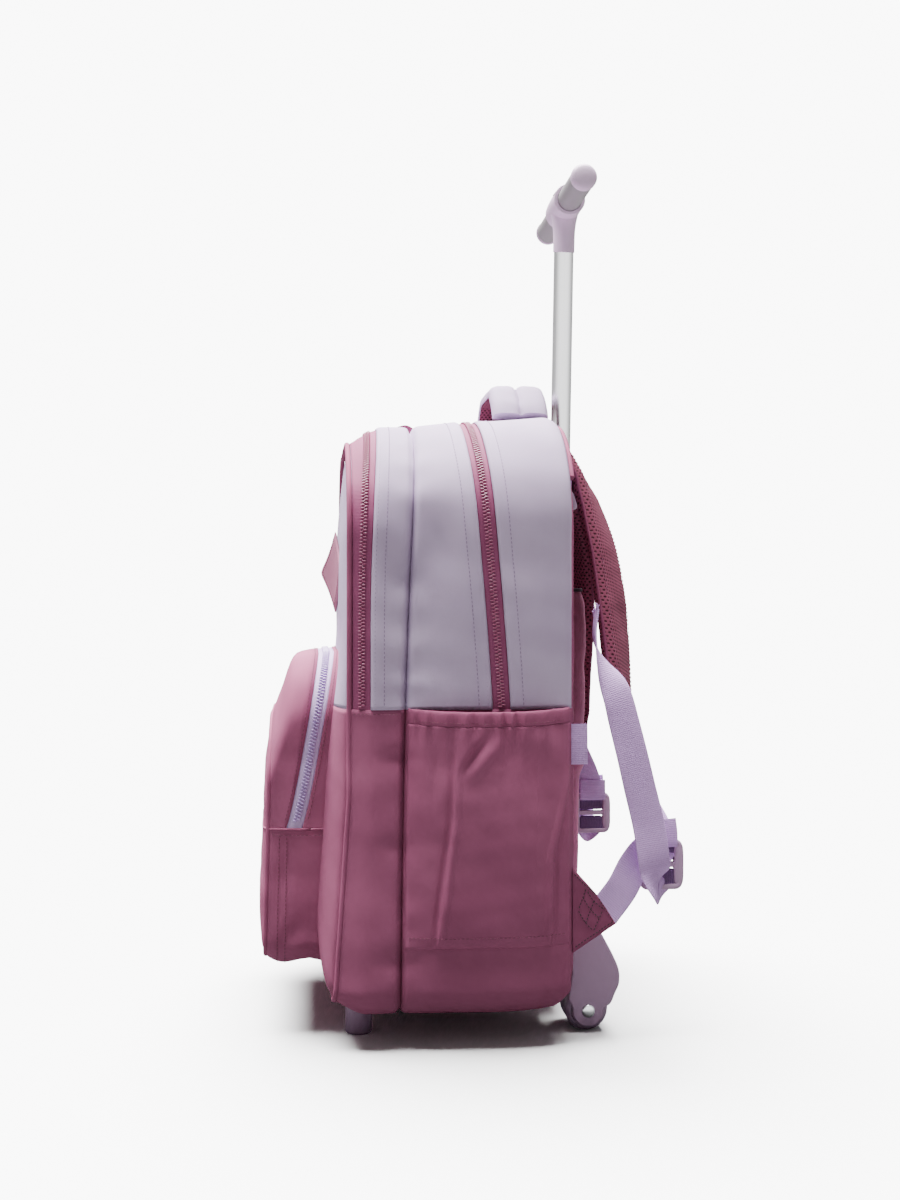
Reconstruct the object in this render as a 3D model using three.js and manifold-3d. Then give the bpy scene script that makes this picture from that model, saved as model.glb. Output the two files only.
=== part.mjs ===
// Wheeled school backpack with two compartments, a front pocket, two side pockets, padded straps
// and a T handle on a telescoping mast. Millimetres, +Z up, the front faces -Y, the wearer's back +Y.
// While it is built, y = 0 is the plane of the back panel; the finished group is centred at the end.
import * as THREE from 'three';
import * as BufferGeometryUtils from 'three/addons/utils/BufferGeometryUtils.js';
import Module from 'manifold-3d';

const wasm = await Module();
wasm.setup();

// Clearances and walls
const gap = 0.3; // between pieces that touch
const clothWall = 2.4; // padded bag fabric
const pocketWall = 2.0; // single fabric of the pockets
const reach = 400; // longer than any cut needs

// Bag body
const bagHalfWidth = 150;
const baseZ = 28; // underside above the floor
const waistZ = 250; // seam between the upper and lower fabric
const mainTopZ = 465;
const topLift = 11; // the top rises this much towards the back
const frontDrop = 3; // and falls this much towards the front
const mainDepth = 127.5; // back plane to the pinch seam, at the base
const pinchLean = 12; // the pinch seam comes back this much at the top
const frontDepth = 37.5; // pinch seam to the front edge, at the base
const bottomFlare = 11; // the front edge steps forward this much at the base
const flareTopZ = 185;
const upperCrown = 5; // bulge of the front panel
const lowerCrown = 12;
const archRadius = 85; // top corners seen from the front
const baseRadius = 24;
const edgeRoll = 9; // how far the outline draws in at a full seam
const bagRows = [
  { at: 0, side: 0.7, top: 1.1, low: 1.8, crown: 0 },
  { at: 0.03, side: 0.35, top: 0.55, low: 1.0, crown: 0 },
  { at: 0.1, side: 0.08, top: 0.12, low: 0.25, crown: 0 },
  { at: 0.36, side: -0.38, top: 0, low: 0, crown: 0 },
  { at: 0.72, side: -0.3, top: 0.02, low: 0, crown: 0 },
  { at: 0.93, side: 0.25, top: 0.3, low: 0.1, crown: 0 },
  { at: 1, side: 0.95, top: 0.8, low: 0.3, crown: 0 },
  { at: 1.14, side: 0.4, top: 0.35, low: 0.1, crown: 0 },
  { at: 1.5, side: 0, top: 0, low: 0, crown: 0 },
  { at: 2, side: 0.8, top: 1.1, low: 1.2, crown: 0 },
  { at: 2, side: 2.2, top: 2.8, low: 2.4, crown: 0.6 },
  { at: 2, side: 5, top: 6, low: 4.5, crown: 1 },
];

// Zips and piping
const zipWidth = 13;
const zipEndRise = 1.5; // a zip ends this far above the waist seam
const mainZipLow = 54; // zip centre in front of the back plane, at the waist
const mainZipHigh = 72; // and at the top
const pipingRadius = 2.1;
const pipingSides = 5;

// Front pocket
const pocketHalfWidth = 104;
const pocketLowZ = 58;
const pocketTopZ = 291;
const pocketDepth = 61; // from the front edge to the pocket's face, above the waist
const pocketLean = 5; // the face stands this much further out at its foot
const pocketArch = 52;
const pocketCorner = 20;
const pocketRoll = 10;
const pocketSeamZ = 157; // seam under the zip
const pocketZipWidth = 9.5;
const pocketZipLow = 38; // zip centre in front of the bag's front edge, at the seam
const pocketZipHigh = 19; // and at the top
const pocketRows = [
  { at: 0, side: 0, top: 0, low: 0 },
  { at: 0.64, side: 0.03, top: 0.7, low: 0.05 },
  { at: 0.84, side: 0.12, top: 3.3, low: 0.1 },
  { at: 0.94, side: 0.4, top: 5.2, low: 0.4 },
  { at: 0.985, side: 1.1, top: 7.6, low: 1.1 },
  { at: 1, side: 3, top: 10, low: 3 },
];

// Side pockets
const sidePocketLowZ = 76;
const sidePocketTopZ = 246;
const hemHeight = 12;
const hemThickness = 3.6;
const hemSag = 3;
const sidePocketPouch = 15; // how far the mouth stands off the bag's side
const sidePocketSink = 5; // how far the pocket's edges start inside the side's outline
const sidePocketFront = 3; // its front edge behind the pinch seam
const sidePocketBack = 3; // its back edge in front of the back plane
const gatherDepth = 1.3;
const gatherCount = 4;
const pleatDepth = 2.2;
const pouchRows = [
  { up: 0, out: 0.2, pleat: 1 },
  { up: 0.04, out: 0.48, pleat: 1 },
  { up: 0.2, out: 0.6, pleat: 1 },
  { up: 0.4, out: 0.7, pleat: 0.9 },
  { up: 0.6, out: 0.82, pleat: 0.5 },
  { up: 0.8, out: 0.93, pleat: 0.1 },
  { up: 1, out: 1, pleat: 0 },
];

// Back panel, yoke and mast cover
const panelThickness = 8;
const panelCrown = 5;
const panelInset = 5.5; // panel edge inside the bag's outline
const crownRows = [
  { inset: 1, crown: 0.5 },
  { inset: 3, crown: 0.85 },
  { inset: 5, crown: 1 },
];
const channelHalfWidth = 14; // flat run down the middle for the mast
const yokeHalfWidth = 98;
const yokeLowZ = 403;
const yokeTopZ = 440;
const yokeThickness = 3;
const coverHalfWidth = 60;
const coverLowZ = 60;
const coverTopZ = 338;
const coverDepth = 30;
const coverRows = [
  { up: 0, half: 0.96, deep: 0.77 },
  { up: 0.44, half: 0.97, deep: 0.84 },
  { up: 0.52, half: 1, deep: 0.97 },
  { up: 0.94, half: 1, deep: 1 },
  { up: 1, half: 0.95, deep: 0.92 },
];

// Telescoping mast and T handle
const mastLean = 1.0; // degrees towards the back
const mastBackAtFoot = 10.6; // axis behind the back plane at the tube's foot
const outerTubeRadius = 9.5;
const tubeWall = 1.0;
const tubeFit = 0.2;
const outerTubeLowZ = 68;
const outerTubeTopZ = 432;
const mastTubeTopZ = 624;
const mastTubeLength = 370;
const collarHeight = 26;
const collarDepth = 14; // behind the tube's axis
const heelHeight = 24;
const heelFloor = 4;
const gripHalfLength = 80;
const gripRadius = 9.9;
const gripCapLength = 8;
const gripCapRadius = 10.4;
const socketHalfLength = 24;
const socketRadius = 13.2;
const stemLength = 26;
const stemStep = 0.7; // the stem stands this proud of the tube
const stemFlare = 4;
const spigotLength = 16;
const screwRadius = 2.8;
const screwDepth = 1.5;
const screwTilt = 35; // degrees round the socket
const gripRise = 38; // grip axis above the mast tube's end
const tubeSides = 16;

// Carry handle
const handleHalfSpan = 50;
const handleWidth = 45;
const handleThickness = 11;
const handleLining = 2;
const handleRise = 22;
const handleSetback = 25; // its middle in front of the back plane
const handleLobes = [
  { across: -0.5, high: 0.5 },
  { across: -0.42, high: 1 },
  { across: -0.08, high: 1 },
  { across: 0, high: 0.7 },
  { across: 0.08, high: 1 },
  { across: 0.42, high: 1 },
  { across: 0.5, high: 0.5 },
];

// Shoulder straps and their webbing
const padWidth = 58;
const padThickness = 14;
const padTopZ = 446;
const padEndZ = 219;
const padReach = 50; // pad end behind the back plane
const webbingWidth = 25;
const webbingThickness = 1.8;
const webbingReach = 62; // fold of the tail behind the back plane
const tailTopZ = 321;
const tailFoldZ = 104;
const buckleWidth = 33;
const buckleHeight = 38;
const buckleThickness = 5;
const buckleBar = 4.5;
const buckleX = 128; // its middle plane
const buckleSetback = 9; // its middle behind the tail's fold
const buckleZ = 130;
const tabX = 141;
const tabThickness = 3;
const tabLowZ = 68;
const tabTopZ = 132;
const tabReach = 34;
const padRoute = [
  { drop: 0, out: 0.1, across: 0.3, face: 89 },
  { drop: 0.084, out: 0.5, across: 0.325, face: 85 },
  { drop: 0.154, out: 0.64, across: 0.36, face: 81 },
  { drop: 0.317, out: 0.79, across: 0.43, face: 76 },
  { drop: 0.511, out: 0.88, across: 0.52, face: 73 },
  { drop: 0.683, out: 0.93, across: 0.607, face: 72 },
  { drop: 0.855, out: 0.97, across: 0.673, face: 72 },
  { drop: 1, out: 1, across: 0.71, face: 72 },
];
const linkRows = [ // from the pad's end down to the buckle, face turning from flat to edgewise
  { down: 0.02, across: 0, back: 0, face: 68 },
  { down: 0.35, across: 0.4, back: 0.3, face: 50 },
  { down: 0.7, across: 0.85, back: 0.7, face: 22 },
  { down: 1.05, across: 1, back: 1, face: 0 },
];

// Wheels, housings and feet
const wheelRadius = 16.5;
const wheelWidth = 30;
const wheelSides = 16;
const axleSides = 12;
const wheelOuterX = 110;
const wheelBack = 18; // axle behind the back plane
const axleRadius = 3;
const axleFit = 0.15;
const housingWall = 3.6;
const housingClearance = 1.4; // between the wheel and what it turns in
const housingTopZ = 106;
const housingBulge = 42;
const tongueRadius = 12;
const tongueSteps = 6;
const housingFront = [
  { out: 1, up: 1 },
  { out: 1, up: 0.42 },
  { out: 0.38, up: 0.23 },
];
const housingRear = [
  { out: 0.83, up: 0.2 },
  { out: 0.93, up: 0.28 },
  { out: 1, up: 0.345 },
  { out: 1, up: 0.44 },
  { out: 0.905, up: 0.54 },
  { out: 0.62, up: 0.755 },
  { out: 0.365, up: 1 },
];
const rivetRadius = 5;
const rivetHeight = 2;
const footRadius = 10.3;
const footX = 94;
const footAhead = 28.5; // foot centre in front of the pinch seam

// Small trim
const patchHalf = 34;
const patchZ = 353;
const patchThickness = 2;
const patchCurl = 9;
const labelLowZ = 208;
const labelTopZ = 238;
const labelReach = 12;
const labelThickness = 1.6;
const topTabWidth = 23;
const topTabAcross = 18;
const topTabRise = 10;
const topTabThickness = 3;

const colour = {
  lilacCloth: 0xcdc2da,
  mauveCloth: 0x8f566f,
  zipTape: 0xa9678b,
  lilacZip: 0xb29bc6,
  piping: 0x83485f,
  mesh: 0x7d3f58,
  webbing: 0xb49fc4,
  plastic: 0xbfa6c4,
  tube: 0xc9c9c9,
  grip: 0x8c8c8c,
  steel: 0xb9bcc0,
};

const lerp = THREE.MathUtils.lerp;
const clamp = THREE.MathUtils.clamp;
const radians = THREE.MathUtils.degToRad;
const bag = new THREE.Group();

function cloth(tint) {
  return new THREE.MeshStandardMaterial({ color: tint, roughness: 0.85, metalness: 0 });
}

function plastic(tint) {
  return new THREE.MeshStandardMaterial({ color: tint, roughness: 0.45, metalness: 0 });
}

function metal(tint) {
  return new THREE.MeshStandardMaterial({ color: tint, roughness: 0.3, metalness: 0.9 });
}

function place(parent, name, geometry, material) {
  const mesh = new THREE.Mesh(geometry, material);
  mesh.name = name;
  parent.add(mesh);
  return mesh;
}

// Triangles listed with their faces outward, whichever way round they were made
function closedGeometry(points, faces) {
  let volume = 0;
  for (const [a, b, c] of faces) {
    volume += points[a].dot(new THREE.Vector3().crossVectors(points[b], points[c]));
  }
  const turned = volume < 0 ? faces.map(([a, b, c]) => [a, c, b]) : faces;
  const geometry = new THREE.BufferGeometry().setFromPoints(points);
  geometry.setIndex(turned.flat());
  return geometry;
}

// A body through rings of equal, even length, each end closed by strips between its two halves
function loft(rings) {
  const count = rings[0].length;
  const faces = [];
  for (let r = 0; r + 1 < rings.length; r += 1) {
    for (let i = 0; i < count; i += 1) {
      const a = r * count + i;
      const b = r * count + ((i + 1) % count);
      faces.push([a, b, b + count], [a, b + count, a + count]);
    }
  }
  for (const [start, turn] of [[0, false], [(rings.length - 1) * count, true]]) {
    for (let i = 0; i < count / 2; i += 1) {
      const near = start + i;
      const next = start + i + 1;
      const far = start + ((count - i) % count);
      const farNext = start + count - i - 1;
      const strip = [];
      if (next !== farNext) strip.push([near, farNext, next]);
      if (near !== far) strip.push([near, far, farNext]);
      for (const [a, b, c] of strip) faces.push(turn ? [a, c, b] : [a, b, c]);
    }
  }
  return closedGeometry(rings.flat(), faces);
}

// A sheet with two skins: outer(u, v) and inner(u, v) on the same grid, joined round their edges
function sheet(outer, inner, across, up) {
  const rings = [];
  for (let j = 0; j <= up; j += 1) {
    const ring = [];
    for (let i = 0; i <= across; i += 1) ring.push(outer(i / across, j / up));
    for (let i = across; i >= 0; i -= 1) ring.push(inner(i / across, j / up));
    rings.push(ring);
  }
  return loft(rings);
}

function toSolid(geometry) {
  const plain = geometry.clone();
  plain.deleteAttribute('normal');
  plain.deleteAttribute('uv');
  const merged = BufferGeometryUtils.mergeVertices(plain, 1e-4);
  return new wasm.Manifold(new wasm.Mesh({
    numProp: 3,
    vertProperties: new Float32Array(merged.attributes.position.array),
    triVerts: new Uint32Array(merged.index.array),
  }));
}

function toGeometry(solid) {
  const mesh = solid.getMesh();
  const geometry = new THREE.BufferGeometry();
  geometry.setAttribute('position', new THREE.BufferAttribute(new Float32Array(mesh.vertProperties), 3));
  geometry.setIndex(new THREE.BufferAttribute(new Uint32Array(mesh.triVerts), 1));
  return geometry;
}

// What a cut leaves, without the slivers beside it
function largestPart(solid) {
  const parts = solid.decompose();
  return parts.reduce((best, part) => (part.volume() > best.volume() ? part : best));
}

// Turns a shape drawn in x and y, and carried along z, into one drawn in y and z, and carried along x
const sideways = new THREE.Matrix4().makeBasis(
  new THREE.Vector3(0, 1, 0),
  new THREE.Vector3(0, 0, 1),
  new THREE.Vector3(1, 0, 0),
);

// An outline of [y, z] points carried along x
function sideExtrusion(outline, fromX, toX, bevel = 0) {
  const shape = new THREE.Shape(outline.map(([y, z]) => new THREE.Vector2(y, z)));
  const geometry = new THREE.ExtrudeGeometry(shape, {
    depth: toX - fromX - 2 * bevel,
    bevelEnabled: bevel > 0,
    bevelThickness: bevel,
    bevelSize: bevel,
    bevelOffset: -bevel,
    bevelSegments: 1,
    curveSegments: 12,
  });
  geometry.translate(0, 0, fromX + bevel);
  return geometry.applyMatrix4(sideways);
}

function box(fromX, toX, fromY, toY, fromZ, toZ) {
  const geometry = new THREE.BoxGeometry(toX - fromX, toY - fromY, toZ - fromZ);
  return geometry.translate((fromX + toX) / 2, (fromY + toY) / 2, (fromZ + toZ) / 2);
}

// A piece turned round an axis that points along +x, from [along, radius] pairs
function turnedAlongX(profile, sides) {
  const points = profile.map(([along, radius]) => new THREE.Vector2(radius, along));
  return new THREE.LatheGeometry(points, sides).rotateZ(-Math.PI / 2);
}

// A piece turned round an upright axis, from [height, radius] pairs
function turnedUpright(profile, sides) {
  const points = profile.map(([along, radius]) => new THREE.Vector2(radius, along));
  return new THREE.LatheGeometry(points, sides).rotateX(Math.PI / 2);
}

// An outline seen from the front: flat foot, small lower corners, upright sides, arched top
function archOutline({ half, low, high, topRadius, lowRadius }) {
  const cornerSteps = 3;
  const archSteps = 5;
  const sideSteps = 3;
  const right = [];
  const topR = Math.min(topRadius, half * 0.95, (high - low) * 0.6);
  const lowR = Math.min(lowRadius, half * 0.45, (high - low) * 0.35);
  for (let i = 0; i <= cornerSteps; i += 1) {
    const angle = (i / cornerSteps - 1) * Math.PI / 2;
    right.push([half - lowR + lowR * Math.cos(angle), low + lowR + lowR * Math.sin(angle)]);
  }
  for (let i = 1; i < sideSteps; i += 1) {
    right.push([half, lerp(low + lowR, high - topR, i / sideSteps)]);
  }
  for (let i = 0; i <= archSteps; i += 1) {
    const angle = (i / archSteps) * Math.PI / 2;
    right.push([half - topR + topR * Math.cos(angle), high - topR + topR * Math.sin(angle)]);
  }
  const left = right.map(([x, z]) => [-x, z]).reverse();
  return [[0, low], ...right, [0, high], ...left];
}

// Seams that the rest of the bag follows, each as y at a height z
function heightShare(z) {
  return clamp((z - baseZ) / (mainTopZ - baseZ), 0, 1);
}

function pinchY(z) {
  return -mainDepth + pinchLean * heightShare(z) ** 2;
}

function frontEdgeY(z) {
  const flare = clamp((flareTopZ - z) / (flareTopZ - baseZ), 0, 1);
  return -mainDepth - frontDepth - bottomFlare * flare;
}

function frontCrown(z) {
  return lerp(lowerCrown, upperCrown, clamp((z - baseZ) / (waistZ - baseZ), 0, 1));
}

function frontFaceY(z) {
  return frontEdgeY(z) - frontCrown(z);
}

function mainZipY(z) {
  const share = clamp((z - waistZ) / (mainTopZ + topLift - waistZ), 0, 1);
  return -lerp(mainZipLow, mainZipHigh, share ** 1.15);
}

// The whole outer skin of the bag, drawn in by inset; a negative inset grows it
function bagRing(row, inset) {
  const toFront = clamp(row.at - 1, 0, 1);
  const toPinch = clamp(row.at, 0, 1);
  const ring = archOutline({
    half: bagHalfWidth - row.side * edgeRoll - inset,
    low: baseZ + row.low * edgeRoll + inset,
    high: mainTopZ + topLift * (1 - toPinch) - frontDrop * toFront - row.top * edgeRoll - inset,
    topRadius: archRadius - row.side * edgeRoll / 2,
    lowRadius: baseRadius,
  });
  return ring.map(([x, z]) => {
    const front = frontEdgeY(z) + inset - row.crown * frontCrown(z);
    const y = row.at <= 1 ? lerp(-inset, pinchY(z), toPinch) : lerp(pinchY(z), front, toFront);
    return new THREE.Vector3(x, y, z);
  });
}

function bagSkin(inset) {
  return toSolid(loft(bagRows.map((row) => bagRing(row, inset))));
}

// A slice of space between two upright curves y(z), and between two heights
function region(frontLine, backLine, lowZ, highZ) {
  const steps = 4;
  const outline = [];
  for (let i = 0; i <= steps; i += 1) {
    const z = lerp(lowZ, highZ, i / steps);
    outline.push([frontLine(z), z]);
  }
  for (let i = steps; i >= 0; i -= 1) {
    const z = lerp(lowZ, highZ, i / steps);
    outline.push([backLine(z), z]);
  }
  return toSolid(sideExtrusion(outline, -reach, reach));
}

function shifted(line, by) {
  return (z) => line(z) + by;
}

// A cord of small section round a closed outline, left open by one gap at the foot
function pipingAlong(outline, radius) {
  const closed = [...outline, outline[0].clone()];
  closed[0] = outline[0].clone().add(new THREE.Vector3(gap, 0, 0));
  closed[closed.length - 1] = outline[0].clone().sub(new THREE.Vector3(gap, 0, 0));
  const rings = closed.map((centre, i) => {
    const before = closed[Math.max(i - 1, 0)];
    const after = closed[Math.min(i + 1, closed.length - 1)];
    const along = after.clone().sub(before).normalize();
    const outward = new THREE.Vector3(0, 1, 0).cross(along).normalize();
    const forward = along.clone().cross(outward).normalize();
    const ring = [];
    for (let s = 0; s < pipingSides; s += 1) {
      const angle = (s / pipingSides) * Math.PI * 2;
      ring.push(centre.clone()
        .addScaledVector(outward, radius * Math.cos(angle))
        .addScaledVector(forward, radius * Math.sin(angle)));
    }
    return ring;
  });
  return loft(rings);
}

// Bag shell, cut at its seams and zips
function buildBody() {
  const shell = bagSkin(0).subtract(bagSkin(clothWall));
  const edgeRow = bagRows.find((row) => row.at === 2);
  const pipingLine = bagRing(edgeRow, 0);
  const piping = pipingAlong(pipingLine, pipingRadius);
  const pipingGroove = toSolid(pipingAlong(pipingLine, pipingRadius + gap));
  const fabric = shell.subtract(pipingGroove);
  const farFront = () => -reach;
  const half = gap / 2;
  const zipLowZ = waistZ + zipEndRise;
  const zipFront = shifted(frontEdgeY, pipingRadius + gap * 2);
  const zipRear = shifted(zipFront, zipWidth);
  const mainFront = shifted(mainZipY, -zipWidth / 2);
  const mainRear = shifted(mainZipY, zipWidth / 2);
  const frontZip = region(shifted(zipFront, half), shifted(zipRear, -half), zipLowZ, reach * 2);
  const mainZip = region(shifted(mainFront, half), shifted(mainRear, -half), zipLowZ, reach * 2);
  const frontSlot = region(shifted(zipFront, -half), shifted(zipRear, half), zipLowZ - gap, reach * 2);
  const mainSlot = region(shifted(mainFront, -half), shifted(mainRear, half), zipLowZ - gap, reach * 2);
  const open = fabric.subtract(frontSlot).subtract(mainSlot);
  const panelFront = () => -panelThickness;
  const slices = [
    ['front_panel_upper', farFront, frontEdgeY, waistZ, reach * 2, colour.lilacCloth],
    ['front_panel_lower', farFront, frontEdgeY, -reach, waistZ, colour.mauveCloth],
    ['front_gusset_upper', zipRear, pinchY, waistZ, reach * 2, colour.lilacCloth],
    ['front_gusset_lower', frontEdgeY, pinchY, -reach, waistZ, colour.mauveCloth],
    ['main_gusset_front', pinchY, mainFront, waistZ, reach * 2, colour.lilacCloth],
    ['main_gusset_back', mainRear, panelFront, waistZ, reach * 2, colour.lilacCloth],
    ['main_tub_lower', pinchY, panelFront, -reach, waistZ, colour.mauveCloth],
  ];
  for (const [name, front, back, low, high, tint] of slices) {
    const slice = region(shifted(front, half), shifted(back, -half), low + half, high - half);
    place(bag, name, toGeometry(largestPart(open.intersect(slice))), cloth(tint));
  }
  place(bag, 'front_zip', toGeometry(largestPart(fabric.intersect(frontZip))), cloth(colour.zipTape));
  place(bag, 'main_zip', toGeometry(largestPart(fabric.intersect(mainZip))), cloth(colour.zipTape));
  place(bag, 'front_piping', piping, cloth(colour.piping));
}

// Back panel: a crowned pad with a flat channel for the mast down its middle
function buildBackPanel() {
  const edge = bagRows[0];
  const ringAt = (inset, y) => bagRing(edge, inset).map((point) => new THREE.Vector3(point.x, y, point.z));
  const slab = box(-reach, reach, gap / 2 - panelThickness, reach, 0, reach * 2);
  const rim = bagSkin(0).intersect(toSolid(slab));
  const crown = toSolid(loft([
    ringAt(panelInset, -panelThickness / 2),
    ...crownRows.map((row) => ringAt(panelInset * row.inset, panelCrown * row.crown)),
  ]));
  const channel = toSolid(box(-channelHalfWidth, channelHalfWidth, 0, reach, -reach, reach * 2));
  place(bag, 'back_panel', toGeometry(rim.add(crown).subtract(channel)), cloth(colour.mauveCloth));
  for (const [name, side] of [['right', 1], ['left', -1]]) {
    const near = side * (channelHalfWidth + gap);
    const far = side * yokeHalfWidth;
    const low = panelCrown + gap;
    const [left, right] = [Math.min(near, far), Math.max(near, far)];
    const yoke = box(left, right, low, low + yokeThickness, yokeLowZ, yokeTopZ);
    place(bag, `strap_yoke_${name}`, yoke, cloth(colour.webbing));
  }
}

// Front pocket: a shell without a back, cut round its zip
function pocketSkin(inset, backInset) {
  const rings = pocketRows.map((row, index) => {
    const outline = archOutline({
      half: pocketHalfWidth - row.side * pocketRoll - inset,
      low: pocketLowZ + row.low * pocketRoll + inset,
      high: pocketTopZ - row.top * pocketRoll - inset,
      topRadius: pocketArch,
      lowRadius: pocketCorner,
    });
    return outline.map(([x, z]) => {
      const back = -mainDepth - frontDepth * 0.6 + backInset;
      const lean = pocketLean * clamp((waistZ - z) / (waistZ - pocketLowZ), 0, 1);
      const face = -mainDepth - frontDepth - pocketDepth - lean + inset;
      const y = index === 0 ? back : lerp(-mainDepth - frontDepth, face, row.at);
      return new THREE.Vector3(x, y, z);
    });
  });
  return loft(rings);
}

function buildPocket(grownBag) {
  const shell = toSolid(pocketSkin(0, 0)).subtract(toSolid(pocketSkin(pocketWall, 1))).subtract(grownBag);
  const half = gap / 2;
  const front = -mainDepth - frontDepth;
  const zipLine = (z) => {
    const share = clamp((z - pocketSeamZ) / (pocketTopZ - pocketSeamZ), 0, 1);
    return front - lerp(pocketZipLow, pocketZipHigh, share ** 0.8);
  };
  const zipFront = shifted(zipLine, -pocketZipWidth / 2);
  const zipRear = shifted(zipLine, pocketZipWidth / 2);
  const far = () => -reach;
  const behind = () => 0;
  const pieces = [
    ['pocket_front', far, zipFront, pocketSeamZ, reach * 2, colour.mauveCloth],
    ['pocket_zip', zipFront, zipRear, pocketSeamZ, reach * 2, colour.lilacZip],
    ['pocket_gusset', zipRear, behind, pocketSeamZ, reach * 2, colour.mauveCloth],
    ['pocket_lower', far, behind, -reach, pocketSeamZ, colour.mauveCloth],
  ];
  for (const [name, ahead, rear, low, high, tint] of pieces) {
    const slice = region(shifted(ahead, half), shifted(rear, -half), low + half, high - half);
    place(bag, name, toGeometry(shell.intersect(slice)), cloth(tint));
  }
}

// Side pockets: pouches that stand off the bag's side, gathered under an elastic hem
function pouchRow(up) {
  const last = pouchRows.length - 1;
  const above = clamp(pouchRows.findIndex((row) => row.up >= up), 1, last);
  const a = pouchRows[above - 1];
  const b = pouchRows[above];
  const share = (up - a.up) / (b.up - a.up);
  return { out: lerp(a.out, b.out, share), pleat: lerp(a.pleat, b.pleat, share) };
}

function pouchX(along, up) {
  const row = pouchRow(up);
  const edge = Math.min(1, 1.25 * Math.sin(Math.PI * along) ** 0.55);
  const pleated = along > 0.22 && along < 0.9 ? 1 : 0;
  const folds = gatherDepth * Math.cos(Math.PI * 2 * gatherCount * along) * (0.25 + 0.75 * up) * edge;
  const stand = (sidePocketSink + sidePocketPouch) * row.out;
  const pleat = pleatDepth * row.pleat * pleated;
  return bagHalfWidth - sidePocketSink + stand * edge + (folds + pleat) * row.out;
}

function pouchPoint(along, up, lowZ, highZ, inward) {
  const sag = hemSag * Math.sin(Math.PI * along) * up;
  const z = lerp(lowZ, highZ, up) - sag;
  const y = lerp(pinchY(z) + sidePocketFront, -sidePocketBack, along);
  return new THREE.Vector3(pouchX(along, up) - inward, y, z);
}

function buildSidePocket(parent, name, grownBag) {
  const wallTop = sidePocketTopZ - hemHeight;
  const outer = (u, v) => pouchPoint(u, v, sidePocketLowZ, wallTop, 0);
  const inner = (u, v) => pouchPoint(u, v, sidePocketLowZ, wallTop, pocketWall);
  const wall = toSolid(sheet(outer, inner, 14, 5)).subtract(grownBag);
  const hemAt = (u, v, inward) => {
    const top = pouchPoint(u, 1, sidePocketLowZ, wallTop, inward);
    return top.add(new THREE.Vector3(0, 0, gap + v * (hemHeight - gap)));
  };
  const proud = (hemThickness - pocketWall) / 2;
  const hemOuter = (u, v) => hemAt(u, v, -proud);
  const hemInner = (u, v) => hemAt(u, v, pocketWall + proud);
  const hem = toSolid(sheet(hemOuter, hemInner, 14, 1)).subtract(grownBag);
  place(parent, `side_pocket_${name}`, toGeometry(largestPart(wall)), cloth(colour.mauveCloth));
  place(parent, `side_hem_${name}`, toGeometry(largestPart(hem)), cloth(colour.mauveCloth));
}

// The tube's leaning axis, as y at a height z
function mastY(z) {
  return mastBackAtFoot + (z - outerTubeLowZ) * Math.tan(radians(mastLean));
}

// A group whose +z runs up the leaning mast, with its origin on the axis at height z
function onMast(z) {
  const group = new THREE.Group();
  group.position.set(0, mastY(z), z);
  group.rotation.x = -radians(mastLean);
  bag.add(group);
  return group;
}

function leaningCylinder(radius) {
  const geometry = new THREE.CylinderGeometry(radius, radius, reach * 4, tubeSides);
  geometry.rotateX(Math.PI / 2 - radians(mastLean));
  return toSolid(geometry.translate(0, mastY(0), 0));
}

function tube(length, outerRadius, innerRadius) {
  return turnedUpright([
    [0, innerRadius], [0, outerRadius], [length, outerRadius], [length, innerRadius], [0, innerRadius],
  ], tubeSides);
}

function buildMastCover() {
  const low = panelCrown + gap;
  const ringAt = (row, inset) => {
    const half = coverHalfWidth * row.half - inset;
    const deep = coverDepth * row.deep - inset;
    const z = lerp(coverLowZ, coverTopZ, row.up) + inset * (1 - 2 * row.up);
    const round = Math.min(12, deep * 0.45);
    const right = [[half, low + inset]];
    for (let i = 0; i <= 4; i += 1) {
      const angle = (i / 4) * Math.PI / 2;
      right.push([half - round + round * Math.cos(angle), deep - round + round * Math.sin(angle)]);
    }
    const left = right.map(([x, y]) => [-x, y]).reverse();
    return [[0, low + inset], ...right, [0, deep], ...left].map(([x, y]) => new THREE.Vector3(x, y, z));
  };
  const skin = (inset) => toSolid(loft(coverRows.map((row) => ringAt(row, inset))));
  const shell = skin(0).subtract(skin(clothWall));
  const channelBack = low + clothWall + gap;
  const channel = toSolid(box(-channelHalfWidth, channelHalfWidth, -reach, channelBack, -reach, reach * 2));
  const opening = leaningCylinder(outerTubeRadius + gap);
  const cover = shell.subtract(channel).subtract(opening);
  place(bag, 'mast_cover', toGeometry(largestPart(cover)), cloth(colour.mauveCloth));
}

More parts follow.
